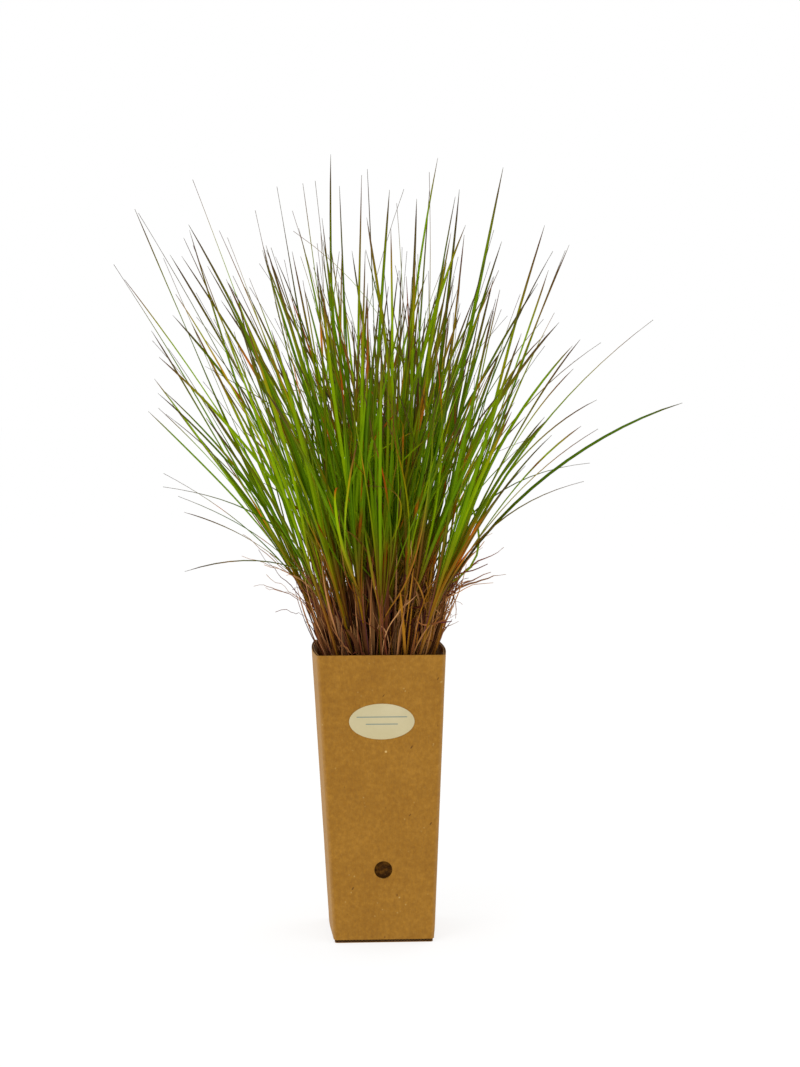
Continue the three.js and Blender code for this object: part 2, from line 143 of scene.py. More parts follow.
half_floor = FLOOR_SIZE / 2
ways_out = ((-1, -1), (1, -1), (1, 1), (-1, 1))
floor_corners = [(x * half_floor, y * half_floor, -FLOOR_DEPTH) for x, y in ways_out]
floor_mesh = bpy.data.meshes.new("floor")
floor_mesh.from_pydata(floor_corners, [], [(0, 1, 2, 3)])
floor = bpy.data.objects.new("floor", floor_mesh)
bpy.context.scene.collection.objects.link(floor)
print("floor", FLOOR_SIZE, "m wide")

# %% [markdown]
# ## Making meshes from arrays
# Every piece is worked out as whole arrays of points, and a grid of four-cornered faces joins them. A
# number kept at each point, such as how dry a blade is there, goes with the mesh as an attribute, and the
# materials read it.


# %% Mesh helpers
def make_piece(name, points, quads, triangles=None, values=None, smooth_angle=None):
    """A mesh object from an array of points, an array of quads and one of triangles, with values kept at
    the points. Edges that turn by more than smooth_angle degrees stay sharp, and with no angle every face
    is smooth."""
    triangles = np.zeros((0, 3), int) if triangles is None else triangles
    mesh = bpy.data.meshes.new(name)
    mesh.vertices.add(len(points))
    mesh.vertices.foreach_set("co", np.asarray(points, np.float32).ravel())
    loops = np.concatenate([quads.ravel(), triangles.ravel()])
    mesh.loops.add(len(loops))
    mesh.loops.foreach_set("vertex_index", loops.astype(np.int32))
    mesh.polygons.add(len(quads) + len(triangles))
    starts = np.concatenate([np.arange(len(quads)) * 4, len(quads) * 4 + np.arange(len(triangles)) * 3])
    mesh.polygons.foreach_set("loop_start", starts.astype(np.int32))
    mesh.update(calc_edges=True)
    mesh.shade_smooth()
    if smooth_angle is not None:
        mesh.set_sharp_from_angle(angle=math.radians(smooth_angle))
    for key, numbers in (values or {}).items():
        kept = mesh.attributes.new(key, "FLOAT", "POINT")
        kept.data.foreach_set("value", np.asarray(numbers, np.float32).ravel())
    made = bpy.data.objects.new(name, mesh)
    bpy.context.scene.collection.objects.link(made)
    return made


def dress(piece, finish, slot, *nodes):
    """Gives a piece its material and its body, and hides the nodes that it stands for. The slot is not used.
    """
    piece.data.materials.append(finish)
    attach(piece, "root")
    if nodes:
        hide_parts(*nodes)
    triangles = sum(len(face.vertices) - 2 for face in piece.data.polygons)
    print(f"{piece.name}: {triangles} triangles, stands for {len(nodes)} nodes")


def around(rings, columns, first=0):
    """Quads that join each ring of points to the next, closed round the ring."""
    ring, column = np.meshgrid(np.arange(rings - 1), np.arange(columns), indexing="ij")
    after = (column + 1) % columns
    low, high = first + ring * columns, first + (ring + 1) * columns
    return np.stack([low + column, low + after, high + after, high + column], -1).reshape(-1, 4)


def end_fans(points, columns, number):
    """What closes the first and the last ring of a stack of rings: their two middle points, which get a
    number and the next one, and a fan of triangles round each."""
    middles, fans = [], []
    for ring, order in ((0, 1), (len(points) // columns - 1, -1)):
        loop = ring * columns + np.arange(columns)
        fan = np.stack([np.full(columns, number + len(middles)), np.roll(loop, -1), loop], -1)
        middles.append(points[loop].mean(0))
        fans.append(fan[:, ::order])
    return np.stack(middles), np.concatenate(fans)


# %% [markdown]
# ## Making materials
# A material is a small network of nodes. The helper adds a node, sets its choices and joins or fills its
# inputs in one call, so each finish below reads as a recipe.


# %% Material helpers
class Recipe:
    """A material's nodes, with its shader at the end."""

    def __init__(self, name):
        self.material = bpy.data.materials.new(name)
        self.material.use_nodes = True
        self.tree = self.material.node_tree
        self.shader = self.tree.nodes["Principled BSDF"]

    def put(self, socket, value):
        """Joins a socket to the one that the value comes from, or sets it to the value."""
        if isinstance(value, bpy.types.NodeSocket):
            self.tree.links.new(value, socket)
        else:
            socket.default_value = value

    def add(self, kind, inputs=None, **choices):
        """A new node of a kind, with its choices made and its inputs filled."""
        made = self.tree.nodes.new(kind)
        for key, value in choices.items():
            setattr(made, key, value)
        for key, value in (inputs or {}).items():
            self.put(made.inputs[key], value)
        return made

    def finish(self, gloss=0.5, **inputs):
        """Sets the shader's inputs, and gives the material."""
        self.put(self.shader.inputs["Specular IOR Level"], gloss)
        for key, value in inputs.items():
            self.put(self.shader.inputs[key.replace("_", " ")], value)
        return self.material

    def place(self):
        """The point's place on the object."""
        return self.add("ShaderNodeTexCoord").outputs["Object"]

    def value(self, key):
        """A number kept at the mesh's points."""
        return self.add("ShaderNodeAttribute", attribute_name=key).outputs["Fac"]

    def stretched(self, scale):
        """The point's place, stretched by a scale for each axis."""
        return self.add("ShaderNodeMapping", {"Vector": self.place(), "Scale": scale}).outputs["Vector"]

    def noise(self, vector, scale, detail=3.0, roughness=0.55):
        """Cloudy noise from 0 to 1."""
        inputs = {"Vector": vector, "Scale": scale, "Detail": detail, "Roughness": roughness}
        return self.add("ShaderNodeTexNoise", inputs).outputs["Fac"]

    def ramp(self, value, stops):
        """Colours along a value: stops are pairs of a place from 0 to 1 and an sRGB colour."""
        made = self.add("ShaderNodeValToRGB", {"Fac": value})
        elements = made.color_ramp.elements
        while len(elements) < len(stops):
            elements.new(0.5)
        for element, (at, colour) in zip(elements, stops):
            element.position = at
            element.color = linear(colour)
        return made.outputs["Color"]

    def steps(self, value, low, high, start=0.0, end=1.0):
        """The value carried from the range low to high onto the range start to end, without going past
        it."""
        inputs = {"Value": value, "From Min": low, "From Max": high, "To Min": start, "To Max": end}
        return self.add("ShaderNodeMapRange", inputs).outputs["Result"]

    def spots(self, vector, scale, low, high, strength, few=None):
        """Spots about scattered points: the strength within a distance low, and 0 past high. With few,
        which is the scale of a noise and the range over which it lets spots through, most are left out."""
        distance = self.add("ShaderNodeTexVoronoi", {"Vector": vector, "Scale": scale}).outputs["Distance"]
        share = self.steps(distance, low, high, strength, 0)
        if few:
            share = self.times(share, self.steps(self.noise(self.place(), few[0], 2), *few[1:]))
        return share

    def maths(self, operation, one, other=0):
        """Two values joined by a sum, a product or the like."""
        return self.add("ShaderNodeMath", {0: one, 1: other}, operation=operation).outputs["Value"]

    def times(self, one, other):
        """The product of two values."""
        return self.maths("MULTIPLY", one, other)

    def weighed(self, one, weight, other, other_weight):
        """The sum of two values, each times its weight."""
        return self.maths("ADD", self.times(one, weight), self.times(other, other_weight))

    def blend(self, share, one, other, how="MIX"):
        """One colour turned into another by a share."""
        inputs = {0: share, 6: linear(one), 7: linear(other)}
        return self.add("ShaderNodeMix", inputs, data_type="RGBA", blend_type=how).outputs[2]

    def layers(self, colour, *coats):
        """A colour under coats of others, each coat a pair of its share and its colour."""
        for share, coat in coats:
            colour = self.blend(share, colour, coat)
        return colour

    def bump(self, height, strength, distance):
        """A bumpy normal from a height."""
        inputs = {"Height": height, "Strength": strength, "Distance": distance}
        return self.add("ShaderNodeBump", inputs).outputs["Normal"]


def linear(colour):
    """An sRGB colour, 0 to 255, as Blender's linear colour: c/12.92 when dark, else ((c +
    0.055)/1.055)^2.4. A socket, which gives linear colours already, stays as it is."""
    if isinstance(colour, bpy.types.NodeSocket):
        return colour
    share = np.array(colour, float) / 255
    light = np.where(share <= 0.04045, share / 12.92, ((share + 0.055) / 1.055) ** 2.4)
    return (*light.tolist(), 1.0)


FLOOR_GREY = (0.26, 0.26, 0.26, 1)
FLOOR_GLOW = 0.74  # the ground is lit from below as well, so that it meets the white world without a line
white_ground = Recipe("white_ground").finish(
    gloss=0.0, Base_Color=FLOOR_GREY, Roughness=1.0, Emission_Color=(1, 1, 1, 1), Emission_Strength=FLOOR_GLOW
)
floor.data.materials.append(white_ground)

# %% [markdown]
# ## The carton's board
# The carton is folded from one blank of single-wall corrugated board, 1.8 mm thick: two paper liners with a
# wavy sheet of flutes glued between them. A plain box with a texture would look like wood, because the eye
# knows board by its cut edges. So the walls are a profile of insets and heights carried round a square with
# bowed sides, and the profile dips between the liners at the rim and at the foot, where a separate wavy
# strip then shows the flutes.

# %% Sizes of the carton
CARTON_HEIGHT = 207 * MM
MOUTH_WIDTH = 90 * MM
BASE_WIDTH = 71 * MM
BOARD = 1.8 * MM
LINER = 0.34 * MM
FOLD_RADIUS = 2.4 * MM
INNER_FOLD_RADIUS = 0.5 * MM  # the least on the inside of a fold
SIDE_BOW = (2.4 * MM, 3 * MM)  # of the side walls, above the base and at the rim
FOOT_CURL = 8 * MM  # below this height the side walls curl in to the base
FOOT_GAP = 2.4 * MM  # the walls end this far above the ground, over the base panel's edge
MOUTH_SHIFT = -2.4 * MM  # folded a little askew, the carton has its mouth's middle left of the base's
BASE_INSET = 0.6 * MM
VENT_RADIUS = 6.4 * MM
VENT_HEIGHT = 53 * MM
FLUTE_PITCH = 2.2 * MM
FLUTE_DEPTH = 0.9 * MM  # how far the flutes can be seen between the liners' cut edges
SWAY = 0.11 * MM  # how far the walls wave inward
WALL_COLUMNS = 28  # across the flat of a wall
FOLD_COLUMNS = 6  # round a fold
VENT_COLUMNS = 4  # from the middle of a wall to the side of the patch round a vent
VENT_ROWS = 4
VENT_PATCH = 10 * MM  # half the height of that patch


def half_width(z):
    """Half the carton's outside width at a height, which grows evenly from base to mouth."""
    return mix(BASE_WIDTH, MOUTH_WIDTH, z / CARTON_HEIGHT) / 2


def shift_at(z):
    """How far the middle of the carton's section lies to the side at a height, evenly more up to the
    mouth."""
    return MOUTH_SHIFT * z / CARTON_HEIGHT


def middle_at(z):
    """The middle of the carton's section at a height."""
    return np.array([shift_at(z), 0, z])


def side_bow(z):
    """How far a side wall bows out at its middle: evenly more from base to rim, times a quarter of a sine
    wave over the foot, where the wall curls in to the base."""
    return mix(*SIDE_BOW, z / CARTON_HEIGHT) * np.sin(np.clip(z / FOOT_CURL, 0, 1) * math.pi / 2)


def waves(points, size, count, seed):
    """Soft relief from -1 to 1: the mean of sine waves in seeded directions, about a size apart."""
    roll = np.random.default_rng(seed)
    directions = unit(roll.normal(size=(count, 3))) * roll.uniform(0.6, 1.6, (count, 1)) * 2 * math.pi / size
    phases = roll.uniform(0, 2 * math.pi, count)
    return np.sin(points @ directions.T + phases).mean(-1) * math.sqrt(2)


def carton_rings(insets, heights):
    """Points of the carton's section at each height, moved in by each inset: four flats, each followed by a
    quarter turn of the fold. A side wall bows outward by its bow times 1 - (y / half the width)^2."""
    insets, heights = np.asarray(insets, float)[:, None], np.asarray(heights, float)[:, None]
    half = half_width(heights) - insets
    radius = np.maximum(FOLD_RADIUS - insets, INNER_FOLD_RADIUS)
    flat = np.linspace(-1, 1, WALL_COLUMNS + 1)[None, :-1] * (half - radius)
    turn = np.linspace(0, math.pi / 2, FOLD_COLUMNS + 1)[None, :-1]
    x = np.concatenate([np.broadcast_to(half, flat.shape), half - radius + radius * np.cos(turn)], 1)
    y = np.concatenate([flat, half - radius + radius * np.sin(turn)], 1)
    across = np.concatenate([x, -y, -x, y], 1)
    deep = np.concatenate([y, x, -y, -x], 1)
    bow = side_bow(heights) * np.clip(1 - (deep / half) ** 2, 0, None)
    across = across + bow * across / half + shift_at(heights)
    return np.stack([across, deep, np.broadcast_to(heights, across.shape)], -1)


# %% Walls, rim and foot
def wall_heights():
    """Heights of the rows of a wall: even steps, with a row on each side of the patch round a vent."""
    low, high = VENT_HEIGHT - VENT_PATCH, VENT_HEIGHT + VENT_PATCH
    below = np.concatenate([np.linspace(FOOT_GAP, FOOT_CURL, 8)[:-1], np.linspace(FOOT_CURL, low, 9)])
    patch = np.linspace(low, high, 2 * VENT_ROWS + 1)[1:-1]
    above = np.linspace(high, CARTON_HEIGHT - 0.6 * MM, 34)
    return np.concatenate([below, patch, above])


def patch_sides(wall):
    """The columns of points at both sides of the patch round a wall's vent."""
    middle = wall * (WALL_COLUMNS + FOLD_COLUMNS) + WALL_COLUMNS // 2
    return middle - VENT_COLUMNS, middle + VENT_COLUMNS


def vent_borders(rows, columns):
    """The loops of points round the four vent patches, for the rows of points from the patch's foot to its
    head: along the foot, up the right side, back along the head and down the left side."""
    loops = []
    for wall in range(4):
        left, right = patch_sides(wall)
        across = np.arange(left, right)
        foot, head = rows[0] * columns + across, rows[-1] * columns + across[::-1] + 1
        loops.append(np.concatenate([foot, rows[:-1] * columns + right, head, rows[:0:-1] * columns + left]))
    return loops


def outside_patches(rings, rows, columns):
    """Which of the quads between the rings lie outside the vent patches at the given rows of points."""
    kept = np.ones((rings - 1, columns), bool)
    for wall in range(4):
        kept[rows.min() : rows.max(), slice(*patch_sides(wall))] = False
    return kept


def carton_walls():
    """The whole carton in one closed skin. Its profile runs from under the base out to the foot, with a dip
    between the base panel's liners, up the outside, over the rim with a dip between the liners, and down
    the inside. Two values tell where the skin lies in such a hollow, which the kraft finish darkens as
    painted shade, and where it is a side wall, which it lightens as painted light."""
    low, deep, top = BASE_INSET, BASE_INSET + FLUTE_DEPTH, CARTON_HEIGHT
    foot = [
        (low + 20 * MM, 0), (low + 0.1 * MM, 0), (low, 0.08 * MM), (low, LINER), (deep, LINER),
        (deep, FOOT_GAP - LINER), (low, FOOT_GAP - LINER), (low, FOOT_GAP - 0.02 * MM),
        (0.12 * MM, FOOT_GAP - 0.02 * MM),
    ]  # fmt: skip
    rim = [
        (0, top - 0.1 * MM), (0.07 * MM, top), (LINER, top), (LINER, top - FLUTE_DEPTH),
        (BOARD - LINER, top - FLUTE_DEPTH), (BOARD - LINER, top), (BOARD - 0.07 * MM, top),
        (BOARD, top - 0.1 * MM),
    ]  # fmt: skip
    heights = wall_heights()
    outside = [(0, z) for z in heights]
    inside = [(BOARD, z) for z in heights[::-1]]
    profile = np.array([*foot, *outside, *rim, *inside, (BOARD + 20 * MM, BOARD)])
    points = carton_rings(profile[:, 0], profile[:, 1])
    rings, columns = points.shape[:2]
    walls = points[len(foot) : -1]
    sway = SWAY * waves(walls, 60 * MM, 9, SEED) * smooth(0, 20 * MM, walls[..., 2])
    walls[..., :2] -= unit(walls[..., :2]) * abs(sway)[..., None]
    flat = points.reshape(-1, 3)

    first = len(foot) + int(np.argmin(abs(heights - (VENT_HEIGHT - VENT_PATCH))))
    outer_rows = np.arange(first, first + 2 * VENT_ROWS + 1)
    inner_rows = 2 * (len(foot) + len(outside)) + len(rim) - 1 - outer_rows
    kept = outside_patches(rings, outer_rows, columns) & outside_patches(rings, inner_rows, columns)
    made_points, made_quads = [flat], [around(rings, columns).reshape(-1, columns, 4)[kept]]
    pair = np.cumsum([0, WALL_COLUMNS, FOLD_COLUMNS, WALL_COLUMNS, FOLD_COLUMNS])
    # The side walls are 1 here, for painted light: the kraft finish turns them paler.
    side_light = [np.interp(np.arange(len(flat)) % pair[-1], pair, [1, 1, 0, 0, 1])]
    count = len(flat)
    borders = zip(vent_borders(outer_rows, columns), vent_borders(inner_rows, columns))
    for wall, (outer, inner) in enumerate(borders):
        vent = vent_rings(flat[outer], flat[inner], wall).reshape(-1, 3)
        grid = np.concatenate([outer, count + np.arange(len(vent)), inner]).reshape(-1, len(outer))
        after = np.roll(grid, -1, 1)
        made_quads.append(np.stack([grid[:-1], after[:-1], after[1:], grid[1:]], -1).reshape(-1, 4))
        made_points.append(vent)
        side_light.append(np.full(len(vent), wall % 2 == 0))
        count += len(vent)
    middles, fans = end_fans(flat, columns, count)
    # The rings at the bottom of the two dips between the liners are 1 here, for painted shade.
    hollow_shade = np.zeros(count + len(middles))
    rim_hollow = len(foot) + len(outside) + 3
    for ring in (4, 5, rim_hollow, rim_hollow + 1):
        hollow_shade[ring * columns : (ring + 1) * columns] = 1
    values = {"hollow_shade": hollow_shade, "side_light": np.concatenate([*side_light, [0, 0]])}
    return np.concatenate([*made_points, middles]), np.concatenate(made_quads), fans, values


def vent_rings(border, back, wall):
    """Rings of points from the border of the outer patch to the vent's edge, through the board with a dip
    between the liners, and out to the border of the inner patch. A point of the vent's circle lies where
    the ray from its middle to the point of the border crosses it."""
    normal = np.array([(1, 0, 0), (0, 1, 0), (-1, 0, 0), (0, -1, 0)][wall], float)
    sideways = np.cross(UP, normal)
    is_side = wall % 2 == 0
    middle = np.array([0 if is_side else shift_at(VENT_HEIGHT), 0, VENT_HEIGHT])
    ray = unit((border - middle) @ np.stack([sideways, UP], 1))

    def circle(radius, depth):
        """Points of a circle of a radius, a depth under the wall's outer face."""
        side, height = ray[:, 0] * radius, VENT_HEIGHT + ray[:, 1] * radius
        half = half_width(height) - depth
        out = half + side_bow(height) * (1 - (side / half) ** 2) * is_side
        flat = sideways * side[:, None] + normal * out[:, None]
        return flat + np.stack([shift_at(height) * is_side + middle[0], np.zeros(len(height)), height], -1)

    wide = VENT_RADIUS + 0.45 * MM
    edge = circle(VENT_RADIUS, 0)
    through = [circle(radius, depth) for radius, depth in (
        (VENT_RADIUS, 0.05 * MM), (VENT_RADIUS, LINER), (wide, LINER),
        (wide, BOARD - LINER), (VENT_RADIUS, BOARD - LINER), (VENT_RADIUS, BOARD),
    )]  # fmt: skip
    out = [mix(border, edge, share) for share in (0.4, 0.75, 0.97)]
    home = [mix(through[-1], back, share) for share in (0.3, 0.65)]
    return np.stack([*out, edge, *through, *home])


board_points, board_quads, board_ends, board_values = carton_walls()
carton = make_piece("carton_board", board_points, board_quads, board_ends, board_values, smooth_angle=32)
print("carton board", np.round(board_points.min(0), 4), np.round(board_points.max(0), 4))


# %% Flutes
WAVE_STEPS = 8  # stations to a wave
FLUTE_PAPER = 0.1 * MM  # half the thickness of the wavy paper


def flute_strip(name, line, height_way, deep_way):
    """A wavy paper strip that closes on itself: along a line of points it swings by a sine wave, one wave
    to each flute's pitch, to both sides in height_way, and it reaches from the line the flutes' depth along
    deep_way."""
    steps = np.linalg.norm(np.roll(line, -1, 0) - line, axis=1)
    length = steps.sum()
    count = int(round(length / FLUTE_PITCH))
    stations = count * WAVE_STEPS
    share = np.arange(stations) / stations
    travelled = np.concatenate([[0], np.cumsum(steps)]) / length

    def carried(values):
        """What each point of the line has, carried evenly to the stations."""
        closed = np.concatenate([values, values[:1]])
        return np.stack([np.interp(share, travelled, closed[:, axis]) for axis in range(3)], -1)

    up, inward = unit(carried(height_way)), unit(carried(deep_way))
    swing = (BOARD / 2 - LINER - 0.06 * MM) * np.sin(share * count * 2 * math.pi)
    middle = carried(line) + up * swing[:, None]
    low, high = middle - up * FLUTE_PAPER, middle + up * FLUTE_PAPER
    points = np.stack([low, high, high + inward * FLUTE_DEPTH, low + inward * FLUTE_DEPTH], 1)
    print(name, count, "waves")
    return make_piece(name, points.reshape(-1, 3), around(stations + 1, 4) % (stations * 4), smooth_angle=50)


def loop_of(inset, height):
    """A ring of the carton's section, the way inward at each of its points, and the way down."""
    ring = carton_rings([inset], [height])[0]
    ahead = unit(np.roll(ring, -1, 0) - np.roll(ring, 1, 0))
    inward = unit(np.cross(UP, ahead))
    points_in = ((middle_at(height) - ring) * inward).sum(1, keepdims=True) > 0
    return ring, np.where(points_in, inward, -inward), np.broadcast_to(-UP, ring.shape)


rim_line, inward, down = loop_of(BOARD / 2, CARTON_HEIGHT - 0.12 * MM)
rim_flutes = flute_strip("rim_flutes", rim_line, inward, down)
foot_line, inward, down = loop_of(BASE_INSET + 0.1 * MM, FOOT_GAP / 2)
foot_flutes = flute_strip("foot_flutes", foot_line, down, inward)

# %% [markdown]
# ## Kraft paper
# Kraft liner is unbleached: a warm brown with fibres a little lighter and darker than the rest, pale
# flecks, bark specks and a few slanting marks. Noise stretched along the height makes the fibres, and
# Voronoi patterns cut off near their centres make the flecks, specks and marks.


# %% Kraft finish
def kraft(name):
    """Kraft liner paper: clouds, fibres, pale flecks, dark specks, slanting marks and pale chips, then
    painted light on the side walls and painted shade in the hollows between the liners."""
    made = Recipe(name)
    clouds = made.noise(made.place(), 26, 3)
    mottle = made.noise(made.place(), 330, 4, 0.65)
    pick = made.weighed(clouds, 0.35, mottle, 0.65)
    colour = made.ramp(pick, [(0.36, (140, 98, 26)), (0.5, (149, 107, 32)), (0.64, (160, 117, 40))])
    fibres = made.noise(made.stretched((1, 1, 0.3)), 1100, 3, 0.7)
    streaks = made.ramp(fibres, [(0.3, (112, 82, 34)), (0.7, (200, 168, 104))])
    slant = {"Vector": made.place(), "Rotation": (0, 0.6, 0), "Scale": (1, 1, 2.8)}
    slanting = made.add("ShaderNodeMapping", slant, vector_type="TEXTURE").outputs["Vector"]
    colour = made.layers(
        made.blend(0.3, colour, streaks, "SOFT_LIGHT"),
        (made.spots(made.place(), 300, 0.1, 0.26, 0.5, (170, 0.6, 0.72)), (206, 176, 112)),
        (made.spots(made.stretched((1, 1, 0.6)), 190, 0.06, 0.15, 0.7, (90, 0.6, 0.68)), (92, 56, 14)),
        (made.spots(slanting, 90, 0.035, 0.055, 0.8), (84, 50, 8)),
        (made.spots(made.place(), 38, 0.022, 0.04, 0.7), (214, 180, 116)),
        # Painted light: the side walls are lightened toward a pale tan, as if lit from the side.
        (made.times(made.value("side_light"), 0.19), (192, 166, 128)),
        # Painted shade: the bottom of the dips between the liners is turned near black-brown.
        (made.value("hollow_shade"), (40, 18, 0)),
    )
    normal = made.bump(made.weighed(fibres, 1, mottle, 0.6), 0.12, 0.2 * MM)
    roughness = made.steps(fibres, 0.2, 0.8, 0.72, 0.9)
    return made.finish(gloss=0.25, Base_Color=colour, Roughness=roughness, Normal=normal)


def raw_edge(name):
    """The cut edge of the flutes: paler, fibrous paper."""
    made = Recipe(name)
    fibres = made.noise(made.stretched((1, 1, 3)), 700, 3)
    colour = made.ramp(fibres, [(0.3, (92, 60, 20)), (0.7, (140, 98, 44))])
    return made.finish(Base_Color=colour, Roughness=0.95, Normal=made.bump(fibres, 0.3, 0.1 * MM))


kraft_board = kraft("kraft_board")
flute_paper = raw_edge("flute_paper")
dress(carton, kraft_board, "kraft_board", "carton")
dress(rim_flutes, flute_paper, "kraft_board")
dress(foot_flutes, flute_paper, "kraft_board")

# %% [markdown]
# ## The label
# The label is an oval sticker of cream paper on the front panel. It is a dome so low that only its edge
# catches the light: circles of points stretched to an oval, each ring set back a little from the one
# before. Two plain ruled lines stand where a gardener would write.

# %% Label
LABEL_WIDTH = 46 * MM
LABEL_HEIGHT = 25.5 * MM
LABEL_CENTRE_HEIGHT = 160 * MM
LABEL_STAND = 0.3 * MM
LABEL_STEPS = 96
LABEL_RINGS = [(1.0, 0.02), (1.0, 0.6), (0.995, 0.9), (0.985, 1.0), (0.8, 1.0), (0.5, 1.0), (0.2, 1.0)]
RULED_LINES = [(0.26, 0.78), (-0.14, 0.5)]  # height and reach of each, in halves of the label's size


def sticker():
    """Rings of an oval at shares of its size and heights above the panel, carried onto the sloping front
    wall."""
    slope = math.atan((MOUTH_WIDTH - BASE_WIDTH) / 2 / CARTON_HEIGHT)
    turn = np.arange(LABEL_STEPS) * 2 * math.pi / LABEL_STEPS
    share, lift = np.array(LABEL_RINGS).T[:, :, None]
    x = share * np.cos(turn) * LABEL_WIDTH / 2
    z = share * np.sin(turn) * LABEL_HEIGHT / 2
    y = np.broadcast_to(-lift * LABEL_STAND, x.shape)
    cos, sin = math.cos(slope), math.sin(slope)
    tilted = np.stack([x, y * cos - z * sin, z * cos + y * sin], -1)
    on_panel = middle_at(LABEL_CENTRE_HEIGHT) - [0, half_width(LABEL_CENTRE_HEIGHT), 0]
    points = (tilted + on_panel).reshape(-1, 3)
    middles, fans = end_fans(points, LABEL_STEPS, len(points))
    quads = around(len(LABEL_RINGS), LABEL_STEPS)
    points = np.concatenate([points, middles])
    return make_piece("label_sticker", points, quads[:, ::-1], fans[:, ::-1], smooth_angle=40)


def label_finish():
    """Cream paper, a little yellower toward its foot, with fine fibres and two ruled lines in grey-blue
    ink."""
    made = Recipe("label_paper")
    place = made.add("ShaderNodeSeparateXYZ", {"Vector": made.place()}).outputs
    across = made.maths("SUBTRACT", place["X"], shift_at(LABEL_CENTRE_HEIGHT))
    across = made.maths("ABSOLUTE", made.maths("DIVIDE", across, LABEL_WIDTH / 2))
    upward = made.maths("DIVIDE", made.maths("SUBTRACT", place["Z"], LABEL_CENTRE_HEIGHT), LABEL_HEIGHT / 2)
    colour = made.ramp(made.noise(made.place(), 60, 4), [(0.3, (185, 173, 134)), (0.7, (193, 181, 144))])
    colour = made.blend(made.steps(upward, -1.0, 0.6, 0.35, 0.0), colour, (180, 166, 116))
    for height, reach in RULED_LINES:
        line = made.steps(made.maths("ABSOLUTE", made.maths("SUBTRACT", upward, height)), 0.022, 0.034, 1, 0)
        short = made.steps(across, reach - 0.02, reach, 1, 0)
        colour = made.blend(made.times(made.times(line, short), 0.8), colour, (84, 112, 112))
    normal = made.bump(made.noise(made.place(), 1500, 3), 0.08, 0.05 * MM)
    return made.finish(gloss=0.35, Base_Color=colour, Roughness=0.55, Normal=normal)


dress(sticker(), label_finish(), "label_paper", "label")

# %% [markdown]
# ## Reading the stems from the frame
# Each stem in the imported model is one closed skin: a bottom point, four rings of eight corners up the stem,
# a centre point on top, and for each leaf some rings of three corners and a tip. Walking over the faces,
# ring by ring, gives these back, and a curve through the rings' centres is the line that the fine blades
# will follow.


# %% Walk over a stem's faces
def welded(mesh):
    """A mesh's points with those at the same place merged, and its triangles between them."""
    places = np.zeros(len(mesh.vertices) * 3, np.float32)
    mesh.vertices.foreach_get("co", places)
    mesh.calc_loop_triangles()
    corners = np.zeros(len(mesh.loop_triangles) * 3, np.int32)
    mesh.loop_triangles.foreach_get("vertices", corners)
    points, number = np.unique(np.round(places.reshape(-1, 3), 6), axis=0, return_inverse=True)
    faces = number.ravel()[corners].reshape(-1, 3)
    whole = (faces[:, 0] != faces[:, 1]) & (faces[:, 1] != faces[:, 2]) & (faces[:, 0] != faces[:, 2])
    return points.astype(float), faces[whole]


def layers(faces, start, count):
    """The sets of points that lie one, two, three faces and so on away from the start."""
    seen, found, ring = {start}, [], [start]
    for _ in range(count):
        touched = set(faces[np.isin(faces, ring).any(1)].ravel().tolist())
        ring = sorted(touched - seen)
        seen |= touched
        found.append(ring)
    return found


def bezier_through(samples, shares):
    """Control points of the quadratic curve that passes closest to the samples at their shares, by least
    squares."""
    shares = np.asarray(shares, float)
    weights = np.stack([(1 - shares) ** 2, 2 * shares * (1 - shares), shares**2], -1)
    return np.linalg.pinv(weights) @ samples


def read_stem(mesh):
    """A stem's curve, the share of it that stands in the mix, and its leaves' curves with the side each
    faces."""
    points, faces = welded(mesh)
    meets = np.bincount(faces.ravel(), minlength=len(points))
    eights = np.flatnonzero(meets == 8)
    bottom = eights[np.argmin(points[eights, 2])]
    rings = [points[ring].mean(0) for ring in layers(faces, bottom, 4)]
    buried = np.linalg.norm(rings[1] - rings[0]) / np.linalg.norm(rings[3] - rings[0])
    curve = bezier_through(np.stack([rings[0], rings[1], rings[2], rings[3]]), [0, buried, 0.6, 1])
    hub = np.argmin(np.linalg.norm(points - rings[3], axis=1))
    curves, sides = [], []
    for tip in np.flatnonzero(meets == 3):
        chain = [points[tip]]
        for ring in layers(faces, tip, 4):
            if hub in ring:
                sector = points[[corner for corner in ring if corner != hub][:2]].mean(0) - points[hub]
                chain.append(points[hub] + sector * 0.6)
                break
            chain.append(points[ring].mean(0))
        samples = np.stack(chain[::-1])
        curves.append(bezier_through(samples, np.linspace(0, 1, len(samples))))
        sides.append(unit(sector))
    return curve, buried, curves, sides


stem_names = sorted(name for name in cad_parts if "_stem_" in name)
stems = {name: read_stem(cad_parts[name].data) for name in stem_names}
green_names = [name for name in stem_names if name.startswith("green")]
straw_names = [name for name in stem_names if name.startswith("straw")]
for kind, kind_names in (("green", green_names), ("straw", straw_names)):
    print(kind, "stems", len(kind_names), "leaves", sum(len(stems[key][2]) for key in kind_names))

# %% [markdown]
# ## A blade
# A grass blade is a long ribbon folded along its midrib. Low down it is a sheath, wrapped round the stem,
# and at the collar it opens and bends away. A flat strip would vanish edge-on and a tube would look like
# wire, so each blade is a thin closed V: left edge, keel, right edge and the valley above the keel, carried
# along a curve as one array for all blades at once. The section turns as it goes, which is what makes real
# grass glint.

# %% Blades from curves
SHEATH_STEPS, COLLAR_STEPS, BLADE_STEPS = 5, 5, 13


def bezier(controls, shares):
    """Points of quadratic curves: (1-t)^2 A + 2t(1-t) B + t^2 C, for each curve and each of its shares."""
    a, b, c = (controls[:, None, at] for at in range(3))
    t = shares[..., None]
    return (1 - t) ** 2 * a + 2 * t * (1 - t) * b + t**2 * c


